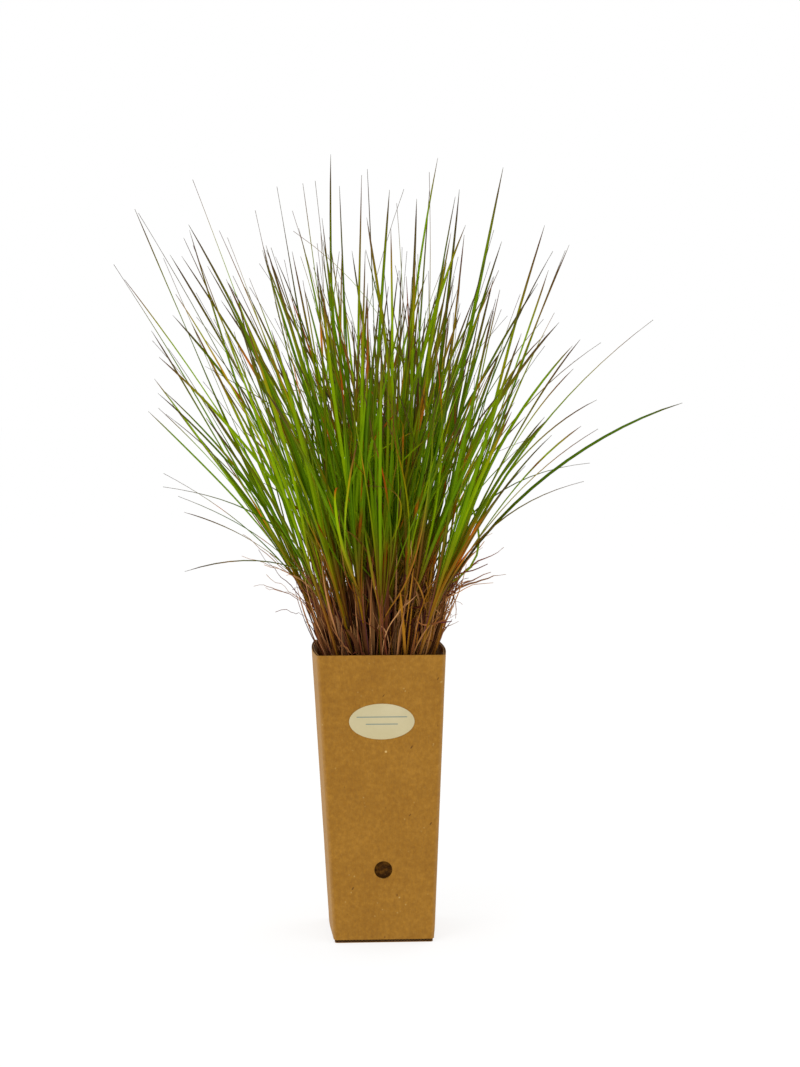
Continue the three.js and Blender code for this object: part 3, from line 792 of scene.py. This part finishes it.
def bezier_way(controls, shares):
    """The direction of quadratic curves at their shares."""
    a, b, c = (controls[:, None, at] for at in range(3))
    t = shares[..., None]
    return unit(2 * (1 - t) * (b - a) + 2 * t * (c - b))


def turned(vectors, axes, angles):
    """Vectors turned about unit axes square to them: v cos + (axis x v) sin."""
    return vectors * np.cos(angles)[..., None] + np.cross(axes, vectors) * np.sin(angles)[..., None]


def ribbons(name, centre, across, upward, half, fold, thick, values):
    """Closed blades. At each station the section has four corners: the left edge and the right edge half a
    width to either side and lifted by the fold, the keel at the centre, and the valley a thickness above
    it. The values are one for each blade or one for each station. Only the edges along a blade stay
    sharp."""
    lift = upward * fold[..., None]
    reach = across * half[..., None]
    valley = centre + upward * thick[..., None]
    corners = np.stack([centre - reach + lift, centre, centre + reach + lift, valley], 2)
    blades, stations = centre.shape[:2]
    first = np.arange(blades)[:, None] * stations * 4
    quads = (around(stations, 4)[None] + first[..., None]).reshape(-1, 4)
    start = np.array([3, 2, 1, 0]) + first
    end = np.array([0, 1, 2, 3]) + (stations - 1) * 4 + first
    quads = np.concatenate([quads, start, end])
    spread = {key: np.broadcast_to(numbers[..., None], corners.shape[:3]) for key, numbers in values.items()}
    spread["across"] = np.broadcast_to([-1.0, 0, 1, 0], corners.shape[:3])
    made = make_piece(name, corners.reshape(-1, 3), quads, values=spread)
    ends = np.zeros(len(made.data.edges) * 2, np.int32)
    made.data.edges.foreach_get("vertices", ends)
    apart = np.abs(np.diff(ends.reshape(-1, 2), axis=1)).ravel()
    made.data.attributes.new("sharp_edge", "BOOLEAN", "EDGE").data.foreach_set("value", apart == 4)
    return made


def blade_lines(stem_curves, buried, sides, leaves, leave_at, offset):
    """The line of each blade, and how far along the free blade each of its points lies, as a share. The
    line runs up the stem from inside the mix, beside its axis by an offset, then by a smooth cubic from
    where the blade leaves the stem to its own curve, and along that to the tip."""
    sheath_share = mix(buried[:, None] * 0.5, leave_at[:, None], np.linspace(0, 1, SHEATH_STEPS)[None])
    sheath = bezier(stem_curves, sheath_share) + sides[:, None] * offset[:, None, None]
    join_at = mix(0.34, 0.08, leave_at)[:, None]
    blade = bezier(leaves, mix(join_at, 1.0, np.linspace(0, 1, BLADE_STEPS)[None] ** 0.9))
    start, end = sheath[:, -1:], blade[:, :1]
    handle = np.linalg.norm(end - start, axis=-1, keepdims=True) / 3
    one = start + bezier_way(stem_curves, leave_at[:, None]) * handle
    other = end - bezier_way(leaves, join_at) * handle
    t = np.linspace(0, 1, COLLAR_STEPS + 2)[None, 1:-1, None]
    collar = (1 - t) ** 3 * start + 3 * t * (1 - t) ** 2 * one + 3 * t**2 * (1 - t) * other + t**3 * end
    line = np.concatenate([sheath, collar, blade], 1)
    steps = np.linalg.norm(np.diff(line, axis=1), axis=-1)
    travelled = np.concatenate([np.zeros((len(line), 1)), np.cumsum(steps, 1)], 1)
    collar_at = travelled[:, SHEATH_STEPS - 1 : SHEATH_STEPS]
    return line, np.clip((travelled - collar_at) / (travelled[:, -1:] - collar_at), 0, 1)


def sections(line, sides, leaves, blade_share, twist):
    """The across and upward ways of each section. Round the stem a blade faces outward; further out it
    turns to lie across its own bend, and it twists about its line as the share to the power 1.5."""
    ahead = unit(np.gradient(line, axis=1))
    wrapped = np.cross(ahead, np.broadcast_to(sides[:, None], ahead.shape))
    bend = np.cross(leaves[:, 1] - leaves[:, 0], leaves[:, 2] - leaves[:, 1])
    bend = unit(bend)[:, None] * np.sign((bend[:, None] * wrapped[:, :1]).sum(-1, keepdims=True))
    across = mix(unit(wrapped), bend, smooth(0, 1, blade_share)[..., None])
    across = unit(across - (across * ahead).sum(-1, keepdims=True) * ahead)
    across = turned(across, ahead, twist[:, None] * blade_share**1.5)
    return across, np.cross(ahead, across)


# %% [markdown]
# ## Living tillers
# A tiller carries its leaves in a fan: old outer leaves leave the bundle low, young inner ones near its
# top. Every leaf of the frame becomes such a blade, and most get a thinner companion that starts from the
# same stem, ends short of the leaf's tip and strays to the side. So the clump keeps its outline and fills
# with fine grass.


# %% Rows of leaves and their companions
# Leaves with a broken tip: the stem, the leaf's number on it and the share that is left.
BROKEN_OFF = {
    ("green_stem_14", 7): 0.82, ("green_stem_40", 5): 0.8, ("green_stem_53", 7): 0.72,
    ("green_stem_56", 5): 0.8, ("green_stem_56", 7): 0.72,
}  # fmt: skip
RIGHT_ARCH = 16 * MM  # by this much more the low leaves at the right arch
SIDE_CHANCE = 0.02  # of a companion for a leaf that ends at the side, against one in the middle
FAR_SHARE = 0.3  # of the companions stray far
FAR, NEAR = 2.8, 1.05  # and they stray this many times as much
FAR_SCALE = 0.78
CREASED_SHARE = 0.03  # of the companions are folded over


def leaf_table(names, roll, companions, stray, shortest):
    """Arrays with a row for each leaf of the named stems, followed by its companions: stem curve, buried
    share, side, leaf curve and whether it is a companion. Long, steep leaves are the likelier to have
    companions."""
    rows, kept = [], []
    for name in names:
        curve, buried, leaves, sides = stems[name]
        rows += [(curve, buried, side, leaf) for leaf, side in zip(leaves, sides)]
        kept += [[BROKEN_OFF.get((name, at), 1.0)] for at in range(len(leaves))]
    curves, buried, sides, leaves, kept = (np.array(column) for column in (*zip(*rows), kept))
    leaves[:, 1], leaves[:, 2] = mix(leaves[:, 0], leaves[:, 1], kept), bezier(leaves, kept)[:, 0]
    tip_x = leaves[:, 2, 0]
    leaves[:, 1, 2] += RIGHT_ARCH * smooth(0.08, 0.13, tip_x)
    reach = np.linalg.norm(leaves[:, 2] - leaves[:, 0], axis=-1)
    chance = np.clip((leaves[:, 2, 2] - leaves[:, 0, 2]) / reach, 0.05, 1) ** 4 * reach
    left, right = smooth(-0.1, 0.0, tip_x), smooth(0.09, 0.03, tip_x)
    chance *= mix(SIDE_CHANCE, 1.0, left) * mix(SIDE_CHANCE, 1.0, right)
    copies = roll.choice(len(rows), int(len(rows) * companions), p=chance / chance.sum())
    far = roll.uniform(0, 1, (len(copies), 1)) < FAR_SHARE
    scale = mix(shortest, 1.0, roll.uniform(0, 1, (len(copies), 1)) ** 0.5) * np.where(far, FAR_SCALE, 1.0)
    wander = roll.normal(size=(len(copies), 2, 3)) * np.array([[stray * 0.8], [stray]])
    wander = wander * np.where(far, FAR, NEAR)[..., None]
    new, length = leaves[copies], reach[copies, None]
    new[:, 1] = new[:, 0] + (new[:, 1] - new[:, 0]) * scale + wander[:, 0] * length
    new[:, 2] = new[:, 0] + (new[:, 2] - new[:, 0]) * scale + wander[:, 1] * length * scale
    new_sides = unit(sides[copies] + roll.normal(size=(len(copies), 3)) * 0.6)
    pairs = (curves, curves[copies]), (buried, buried[copies]), (sides, new_sides), (leaves, new)
    curves, buried, sides, leaves = (np.concatenate(pair) for pair in pairs)
    return curves, buried, sides, np.clip(leaves, *cad_box), np.arange(len(leaves)) >= len(rows)


def hold_in_carton(line):
    """Lines kept off the carton's inner walls: below the rim a point may come no nearer than 1 mm, and
    above it the limit opens outward at once."""
    height = line[..., 2]
    below = np.minimum(height, CARTON_HEIGHT)
    reach = half_width(below) - BOARD - 1.0 * MM
    reach = reach + 4 * np.clip(height - CARTON_HEIGHT - 0.5 * MM, 0, None)
    held = line.copy()
    held[..., 0] = np.clip(line[..., 0], shift_at(below) - reach, shift_at(below) + reach)
    held[..., 1] = np.clip(line[..., 1], -reach, reach)
    return held


def folded_over(line, across, share, extra, roll):
    """Lines of which a few, companions only, are creased: past a share of its own, each goes on turned
    about its across way there, downward and by an angle of its own."""
    at = np.argmax(share > roll.uniform(0.45, 0.8, (len(line), 1)), axis=1)
    rows = np.arange(len(line))
    crease, axis = line[rows, at][:, None], across[rows, at][:, None]
    creased = extra & (roll.uniform(0, 1, len(line)) < CREASED_SHARE)
    angle = np.where(creased, roll.uniform(0.4, 1.5, len(line)), 0.0)[:, None]
    rest = line - crease
    along_axis = (rest * axis).sum(-1, keepdims=True) * axis
    options = [crease + along_axis + turned(rest - along_axis, axis, side * angle) for side in (-1, 1)]
    lower = np.where((options[0][:, -1:, 2:] < options[1][:, -1:, 2:]), *options)
    past = (np.arange(line.shape[1])[None] > at[:, None])[..., None]
    return np.where(past & creased[:, None, None], lower, line)


# %% Grow the green blades
COMPANION_WIDTHS = (1.25, 2.5)  # mm
LEAF_WIDTHS = (2.0, 3.1)  # mm
SHEATH_HALF = 0.85 * MM  # the least half width of a sheath
RUSTY_SHARE = 0.4  # of the blades have a rusty patch
DRY_SHARE = 0.14  # of the companions have a dry end


def green_tillers(name, names, seed):
    """The sheaths and blades of a group of living stems as one piece. With s the share of the way along the
    free blade, its width is the blade's own times min(0.55 + 0.95 s, 1) (1 - s^2 / 2) sqrt(1 - s^12)."""
    roll = np.random.default_rng(seed)
    curves, buried, sides, leaves, extra = leaf_table(names, roll, 0.9, 0.065, 0.42)
    count = len(leaves)

    def each(low, high):
        """A number of its own for each blade, from low to high."""
        return roll.uniform(low, high, (count, 1))

    leave_at = mix(1.0, 0.35, each(0, 1)[:, 0] ** 1.3)
    offset = mix(0.8, 1.7, 1 - leave_at) * MM
    line, share = blade_lines(curves, buried, sides, leaves, leave_at, offset)
    wave = np.sin(share * each(3, 7) + each(0, 6.3)) * share
    across, upward = sections(line, sides, leaves, share, roll.normal(0, 0.9, count))
    line = line + across * (wave * each(0.4, 2.2) * MM)[..., None]
    line = hold_in_carton(folded_over(line, across, share, extra, roll))

    extra = extra[:, None]
    width = np.where(extra, each(*COMPANION_WIDTHS), each(*LEAF_WIDTHS)) * MM
    width *= mix(1.0, 1.25, smooth(0.05, 0.1, leaves[:, 2, 0]))[:, None]
    taper = np.minimum(0.55 + 0.95 * share, 1) * (1 - 0.5 * share**2) * np.sqrt(1 - share**12)
    half = np.maximum(width / 2 * taper, np.where(extra, 0.18, 0.28) * MM)
    half[:, -1] = 0.1 * MM
    half = mix(half, np.maximum(half, SHEATH_HALF), 1 - smooth(0.0, 0.05, share))
    fold = half * mix(0.6, 0.42, smooth(0.1, 0.7, share))
    thick = mix(0.32, 0.44, 1 - share) * MM

    tone, hue, tip_start = each(0, 1), each(0, 1), each(0.4, 0.86)
    tip = smooth(0, 1, (share - tip_start) / (1.02 - tip_start))
    shift = np.clip(roll.normal(0, 0.018, (count, 1)), -0.03, 0.03)
    shift = shift + 0.024 * smooth(0.03, 0.07, -line[..., 0])
    base = 1 - smooth(0.248, 0.316, line[..., 2] + shift)
    patch = np.exp(-(((share - each(0.1, 0.8)) / each(0.012, 0.038)) ** 2))
    rusty = each(0, 1)
    dry_end = smooth(0, 0.12, share - each(0.55, 0.85))
    dead = np.select([rusty < RUSTY_SHARE, (rusty < RUSTY_SHARE + DRY_SHARE) & extra], [patch, dry_end], 0)
    values = {"tone": tone, "hue": hue, "tip": tip, "base": base, "dead": dead}
    print(name, count, "blades")
    return ribbons(name, line, across, upward, half, fold, thick, values)


def grass(name):
    """Living grass. A blade's own tone picks its green, and its hue may make that warmer. The base turns to
    purple and tan sheath, the tip to brown and last to purple-grey, and patches and dry ends to
    orange-brown. A paler rib runs along the middle."""
    made = Recipe(name)
    tone, hue, tip = made.value("tone"), made.value("hue"), made.value("tip")
    mottle = made.noise(made.place(), 95, 3)
    pick = made.weighed(tone, 0.75, mottle, 0.3)
    green = made.ramp(pick, [
        (0.05, (48, 76, 0)), (0.4, (86, 121, 0)), (0.7, (111, 144, 0)), (1.0, (146, 174, 2)),
    ])  # fmt: skip
    warm = made.ramp(pick, [(0.1, (78, 74, 0)), (0.6, (112, 110, 0)), (1.0, (150, 140, 10))])
    sheath = made.ramp(hue, [
        (0.0, (76, 42, 18)), (0.25, (110, 62, 24)), (0.5, (142, 88, 26)), (0.75, (118, 76, 4)),
        (1.0, (92, 76, 0)),
    ])  # fmt: skip
    height = made.add("ShaderNodeSeparateXYZ", {"Vector": made.place()}).outputs["Z"]
    purple = made.times(made.steps(height, 0.215, 0.26, 0.95, 0), made.steps(hue, 0.24, 0.34, 1, 0))
    brown = made.ramp(tone, [
        (0.0, (70, 46, 4)), (0.5, (98, 62, 6)), (0.85, (126, 62, 8)), (1.0, (156, 78, 8)),
    ])  # fmt: skip
    spread = made.weighed(hue, 0.7, mottle, 0.4)
    rust = made.ramp(spread, [(0.1, (96, 34, 8)), (0.5, (158, 64, 4)), (0.9, (200, 104, 26))])
    rib = made.steps(made.maths("ABSOLUTE", made.value("across")), 0.0, 0.25, 0.3, 0.0)
    colour = made.layers(
        green,
        (made.steps(hue, 0.7, 0.98, 0, 0.7), warm),
        (made.value("base"), made.blend(purple, sheath, (112, 52, 80))),
        (tip, brown),
        (made.value("dead"), rust),
        (made.steps(tip, 0.55, 1.0, 0, 0.85), (60, 40, 40)),
        (rib, (150, 170, 20)),
    )
    normal = made.bump(made.noise(made.stretched((1, 1, 0.12)), 1400, 2), 0.15, 0.05 * MM)
    return made.finish(gloss=0.03, Base_Color=colour, Roughness=0.55, Normal=normal)


grass_finish = grass("green_leaf")
GREEN_GROUPS = 4
for group in range(GREEN_GROUPS):
    group_names = green_names[group::GREEN_GROUPS]
    tillers = green_tillers(f"green_tillers_{group + 1}", group_names, SEED + 1 + group)
    dress(tillers, grass_finish, "green_leaf", *group_names)

# %% [markdown]
# ## Dead straw
# Last year's leaves stay on the clump: thin, brown strips that curl and cross low between the tillers, most
# of them at the edge. Their lines are drawn as a walk. A strand sets off from the crown in its own
# direction, and a slow random turn is added at each step, so it bends, kinks and curls as dry leaf does.


# %% Straw strands
STRAW_STEPS = 14
STRAW_THICKNESS = 0.3 * MM


def strand_lines(starts, ways, lengths, curl, roll):
    """Lines that walk from their starts: the direction is the first one plus the running sum of small
    random turns, which grow along the way, and the place is the running sum of the directions."""
    turns = STRAW_STEPS - 1
    turn = roll.normal(size=(len(starts), 1, 3)) * 0.7 + roll.normal(size=(len(starts), turns, 3)) * 0.9
    ramp = np.linspace(0.1, 1, turns)[None, :, None] ** 1.5
    direction = unit(ways[:, None] + np.cumsum(turn * curl[:, None, None] * ramp, 1) * 0.16)
    walked = np.cumsum(direction * (lengths[:, None, None] / turns), 1)
    return np.concatenate([starts[:, None], starts[:, None] + walked], 1)


def flat_sections(line, roll):
    """Across and upward ways for free strands: any way square to the line, turning slowly along it."""
    ahead = unit(np.gradient(line, axis=1))
    any_way = unit(roll.normal(size=(len(line), 1, 3)))
    across = unit(np.cross(ahead, np.broadcast_to(any_way, ahead.shape)))
    spin = roll.normal(0, 2.2, (len(line), 1)) * np.linspace(0, 1, line.shape[1])[None]
    across = turned(across, ahead, spin)
    return across, np.cross(ahead, across)


def straw_strip(name, line, widths, roll, tint):
    """Dry strips along lines, narrow at both ends, with a tone and a hue each. With s the share of the way
    along, the width is the strip's own times (1 - 0.7 s^4) min(0.8 + s, 1)."""
    across, upward = flat_sections(line, roll)
    share = np.linspace(0, 1, line.shape[1])[None]
    half = np.maximum(widths[:, None] / 2 * (1 - 0.7 * share**4) * np.minimum(0.8 + share, 1), 0.2 * MM)
    fold = half * roll.uniform(0.2, 0.8, (len(line), 1))
    tone = roll.uniform(0, 1, (len(line), 1))
    hue = np.clip(tint[:, None] + roll.normal(0, 0.05, (len(line), 1)), 0, 1)
    values = {"tone": tone, "hue": hue, "height": line[..., 2]}
    return ribbons(name, line, across, upward, half, fold, np.full(half.shape, STRAW_THICKNESS), values)


def straw(name, shade=0.0):
    """Dry leaf: brown, tan or golden by each strand's own hue, with streaks, and purple-brown near the mix.
    The shade is painted shade: a share of near black over the colour, for the thatch that lies under the
    crown."""
    made = Recipe(name)
    tone, hue = made.value("tone"), made.value("hue")
    streaks = made.noise(made.stretched((1, 1, 0.15)), 500, 3)
    tan = made.ramp(hue, [
        (0.0, (100, 50, 56)), (0.25, (150, 84, 48)), (0.5, (184, 128, 74)), (0.75, (212, 158, 108)),
        (1.0, (180, 126, 32)),
    ])  # fmt: skip
    dark = made.ramp(hue, [(0.0, (48, 16, 12)), (0.5, (82, 38, 8)), (1.0, (130, 78, 14))])
    low = made.steps(made.value("height"), 0.196, 0.225, 0.35, 0.0)
    pick = made.weighed(tone, 0.7, streaks, 0.3)
    # The last coat is painted shade, a share of near black.
    colour = made.layers(dark, (pick, tan), (low, (84, 44, 40)), (shade, (22, 5, 0)))
    normal = made.bump(streaks, 0.3, 0.08 * MM)
    return made.finish(gloss=0.04, Base_Color=colour, Roughness=0.7, Normal=normal)


straw_finish = straw("dry_straw")

# %% Dead stems and loose straw
MIX_TOP = 193 * MM
CROWN = 36 * MM  # how far from its middle the crown reaches
CORNERS = 0.16  # by how much of that it reaches further into the carton's corners
CLUMP_LEAN = -0.045  # the whole clump leans a little to the left
SPREAD = 66 * MM  # how far loose straw can get from the middle


def crown_starts(count, roll):
    """Places and first directions for strands, and how far out each starts as a share: spread over a
    rounded square crown, leaning out more at its edge."""
    angle = roll.uniform(0, 2 * math.pi, count)
    out = np.sqrt(roll.uniform(0.02, 1, count))
    squareness = 1 + CORNERS * np.sin(2 * angle) ** 4
    heading = np.stack([np.cos(angle), np.sin(angle), np.zeros(count)], -1)
    places = heading * (out * squareness * CROWN)[:, None]
    places[:, 0] += shift_at(MIX_TOP)
    places[:, 2] = MIX_TOP - 2 * MM
    lean = 0.08 + 0.36 * out[:, None]
    upright = np.array([CLUMP_LEAN, 0, 1.0])
    ways = unit(heading * np.sin(lean) + upright * np.cos(lean) + roll.normal(0, 0.1, (count, 3)))
    return places, ways, out


def straw_leaves(name, names, seed):
    """The dead stems: each leaf of the frame as a dry strip on its own curve, and a few companions."""
    roll = np.random.default_rng(seed)
    curves, buried, sides, leaves, _ = leaf_table(names, roll, 0.3, 0.05, 0.4)
    leave_at = mix(1.0, 0.3, roll.uniform(0, 1, len(leaves)))
    slim = mix(0.45, 1.0, smooth(-0.045, -0.015, curves[:, 2, 0]))
    offset = mix(0.6, 1.3, 1 - leave_at) * slim * MM
    line, share = blade_lines(curves, buried, sides, leaves, leave_at, offset)
    kinks = np.cumsum(roll.normal(size=line.shape), 1) * share[..., None] * 0.9 * MM
    widths = roll.uniform(1.0, 2.0, len(leaves)) * slim * MM
    return straw_strip(name, hold_in_carton(line + kinks), widths, roll, roll.uniform(0.1, 0.8, len(leaves)))


def straw_tangle(name, count, seed, length, curl, width, gold=0.0):
    """Loose dead leaf from the crown, as many strands as asked. Curly ones grow mostly at the right edge,
    wide ones in the middle, and a share of the strands in front on the right is golden. A point at a
    distance d from the middle is drawn in to d / (1 + (d / SPREAD)^4)^(1/4)."""
    roll = np.random.default_rng(seed)
    starts, ways, out = crown_starts(count * 3, roll)
    curly, wide = curl[1] > 0.5, width[0] > 2
    right = smooth(-0.01, 0.035, starts[:, 0])
    wanted = roll.uniform(0, 1, len(out)) + curly * (0.6 * out + 0.9 * right) - wide * 1.2 * out
    chosen = np.sort(np.argsort(wanted)[-count:])
    starts, ways = starts[chosen], ways[chosen]
    right = smooth(0.01, 0.03, starts[:, 0])
    grown = mix(0.6, 1.0, smooth(-0.025, 0.0, starts[:, 0])) + 0.3 * curly * right
    lengths = roll.uniform(*length, count) * MM * mix(1.0, grown, curly or wide)
    line = strand_lines(starts, ways, lengths, roll.uniform(*curl, count), roll)
    line[..., 2] = np.maximum(line[..., 2], MIX_TOP - 4 * MM)
    away = line[..., :2] - [MOUTH_SHIFT, 0]
    distance = np.linalg.norm(away, axis=-1, keepdims=True)
    line[..., :2] = [MOUTH_SHIFT, 0] + away / (1 + (distance / SPREAD) ** 4) ** 0.25
    line = hold_in_carton(line)
    golden = gold * smooth(0.004, 0.012, starts[:, 0]) * smooth(0.005, -0.01, starts[:, 1])
    brown = np.minimum(roll.uniform(0, 0.85, count) + 0.35 * right, 0.8)
    tint = np.where(roll.uniform(0, 1, count) < golden, 0.98, brown)
    return straw_strip(name, line, roll.uniform(*width, count) * MM, roll, tint)


def edge_curls(name, count, seed):
    """Short dry leaf that hangs on the outer stems, most of it on the right: each strand sets off outward
    and up from a point in the upper half of a stem, and curls at once."""
    roll = np.random.default_rng(seed)
    curves = np.array([stems[key][0] for key in stem_names])
    out = curves[:, 2] - [MOUTH_SHIFT, 0, 0]
    reach = np.linalg.norm(out[:, :2], axis=1)
    weight = reach**3 * mix(0.04, 1.0, smooth(0.0, 0.03, out[:, 0]))
    picked = roll.choice(len(curves), count, p=weight / weight.sum())
    starts = bezier(curves[picked], roll.uniform(0.55, 1.0, (count, 1)))[:, 0]
    ways = out[picked] * [0.5, 0.5, 0] / reach[picked, None] + roll.normal(0, 0.4, (count, 3)) + 0.6 * UP
    lengths, curl = roll.uniform(12, 30, count) * MM, roll.uniform(1.6, 4.0, count)
    line = strand_lines(starts, unit(ways), lengths, curl, roll)
    line[..., 2] = np.maximum(line[..., 2], CARTON_HEIGHT + 4 * MM)
    return straw_strip(name, line, roll.uniform(1.0, 1.9, count) * MM, roll, roll.uniform(0, 0.7, count))


dress(straw_leaves("straw_tillers", straw_names, SEED + 11), straw_finish, "dry_straw", *straw_names)
stubble = straw_tangle("straw_stubble", 230, SEED + 21, (34, 108), (0.03, 0.22), (0.9, 2.2), 0.7)
tangle = straw_tangle("straw_tangle", 300, SEED + 22, (34, 86), (0.4, 1.6), (0.7, 1.6), 0.3)
thatch = straw_tangle("straw_thatch", 320, SEED + 23, (34, 96), (0.03, 0.3), (2.6, 4.2))
for piece in (stubble, tangle, edge_curls("straw_curls", 46, SEED + 24)):
    dress(piece, straw_finish, "dry_straw")
# The thatch gets painted shade: its colour is 0.6 of the way to near black, for lying under the crown.
dress(thatch, straw("shaded_thatch", 0.6), "dry_straw")

# %% [markdown]
# ## Mix and roots
# The clump grows in a square plug of dark potting mix. Only its top and the spots behind the vents can be
# seen, so the plug is a skin carried up the carton's inner wall and over the top, roughened by waves, and
# loose crumbs of bark and peat lie on it. A crumb is a small lump of a few faces, repeated, turned and
# stretched at random.

# %% Mix
PLAY = 0.3 * MM  # between the mix and the carton
MIX_RELIEF = 1.2 * MM
MIX_EDGE = 187.5 * MM  # the sides of the plug end below this height
CRUMBS = 1500


def mix_height(x, y):
    """The height of the mix's surface, with the low wave that the frame has."""
    return MIX_TOP + MIX_RELIEF * np.sin(x / (7 * MM) + 1) * np.cos(y / (9 * MM) - 0.5)


def mix_plug():
    """Rings up the carton's inner wall, then rings that shrink towards the middle of the top."""
    inset = BOARD + PLAY
    heights = np.array([inset, *np.linspace(6 * MM, 187 * MM, 60)])
    sides = carton_rings(np.full(len(heights), inset + 0.1 * MM), heights)
    shares = np.array([0.985, 0.96, *np.linspace(0.92, 0.04, 26)])
    edge = carton_rings([inset + 1.2 * MM], [MIX_TOP])[0]
    centre = middle_at(MIX_TOP)
    top = centre + (edge - centre)[None] * shares[:, None, None]
    top[..., 2] = mix_height(top[..., 0], top[..., 1])
    top[:2, :, 2] -= np.array([[3.0], [1.2]]) * MM
    points = np.concatenate([sides, top])
    rough = waves(points, 4 * MM, 14, SEED + 31) + 0.6 * waves(points, 1.7 * MM, 14, SEED + 32)
    inward = unit((centre - points) * [1, 1, 0])
    on_side = points[..., 2] < MIX_EDGE
    points = points + inward * ((rough + 1.4) * on_side * 0.3 * MM)[..., None]
    points[len(heights) :, :, 2] += rough[len(heights) :] * 0.7 * MM
    flat, columns = points.reshape(-1, 3), points.shape[1]
    middles, fans = end_fans(flat, columns, len(flat))
    return make_piece("mix_plug", np.concatenate([flat, middles]), around(len(points), columns), fans)


def soil(name):
    """Dark, moist peat and bark: brown clouds, darker pores and pale flecks, with a strong bump."""
    made = Recipe(name)
    clumps = made.noise(made.place(), 260, 5, 0.7)
    colour = made.ramp(clumps, [(0.25, (20, 8, 0)), (0.5, (62, 34, 0)), (0.75, (112, 72, 14))])
    bits = made.noise(made.place(), 900, 2)
    colour = made.blend(made.steps(bits, 0.62, 0.74, 0, 0.5), colour, (124, 86, 36))
    return made.finish(gloss=0.15, Base_Color=colour, Roughness=0.95, Normal=made.bump(clumps, 0.7, 0.8 * MM))


def lumps(name, places, sizes, seed):
    """Crumbs: a lump of two rings of six corners and two poles, turned, stretched and roughened for each
    place."""
    roll = np.random.default_rng(seed)
    turn = np.arange(6) * math.pi / 3
    ring = np.stack([np.cos(turn), np.sin(turn), np.zeros(6)], -1) * 0.85
    shape = np.concatenate([[-UP], ring - 0.45 * UP, ring + 0.45 * UP, [UP]])
    count, corners = len(places), len(shape)
    rough = roll.uniform(0.75, 1.25, (count, corners, 1))
    grown = shape[None] * rough * roll.uniform(0.5, 1.3, (count, 1, 3))
    axes = np.linalg.qr(roll.normal(size=(count, 3, 3)))[0]
    axes *= np.sign(np.linalg.det(axes))[:, None, None]
    points = np.einsum("nij,nkj->nki", axes, grown) * sizes[:, None, None] + places[:, None]
    one = np.arange(6)
    after = np.roll(one, -1)
    low = np.stack([np.zeros(6, int), 1 + after, 1 + one], -1)
    high = np.stack([np.full(6, corners - 1), 7 + one, 7 + after], -1)
    first = np.arange(count)[:, None, None] * corners
    quads = (around(2, 6, 1)[None] + first).reshape(-1, 4)
    triangles = (np.concatenate([low, high])[None] + first).reshape(-1, 3)
    return make_piece(name, points.reshape(-1, 3), quads, triangles)


def crumb_places(count, roll):
    """Places on the mix's surface, spread over the whole square."""
    reach = half_width(MIX_TOP) - BOARD - 3 * MM
    x, y = roll.uniform(-reach, reach, (2, count))
    x = x + shift_at(MIX_TOP)
    return np.stack([x, y, mix_height(x, y) + roll.uniform(-0.3, 0.6, count) * MM], -1)


soil_finish = soil("potting_mix")
crumb_roll = np.random.default_rng(SEED + 41)
places = crumb_places(CRUMBS, crumb_roll)
crumbs = lumps("mix_crumbs", places, crumb_roll.uniform(0.5, 1.7, CRUMBS) * MM, SEED + 42)
dress(mix_plug(), soil_finish, "potting_mix", "root_ball")
dress(crumbs, soil_finish, "potting_mix")
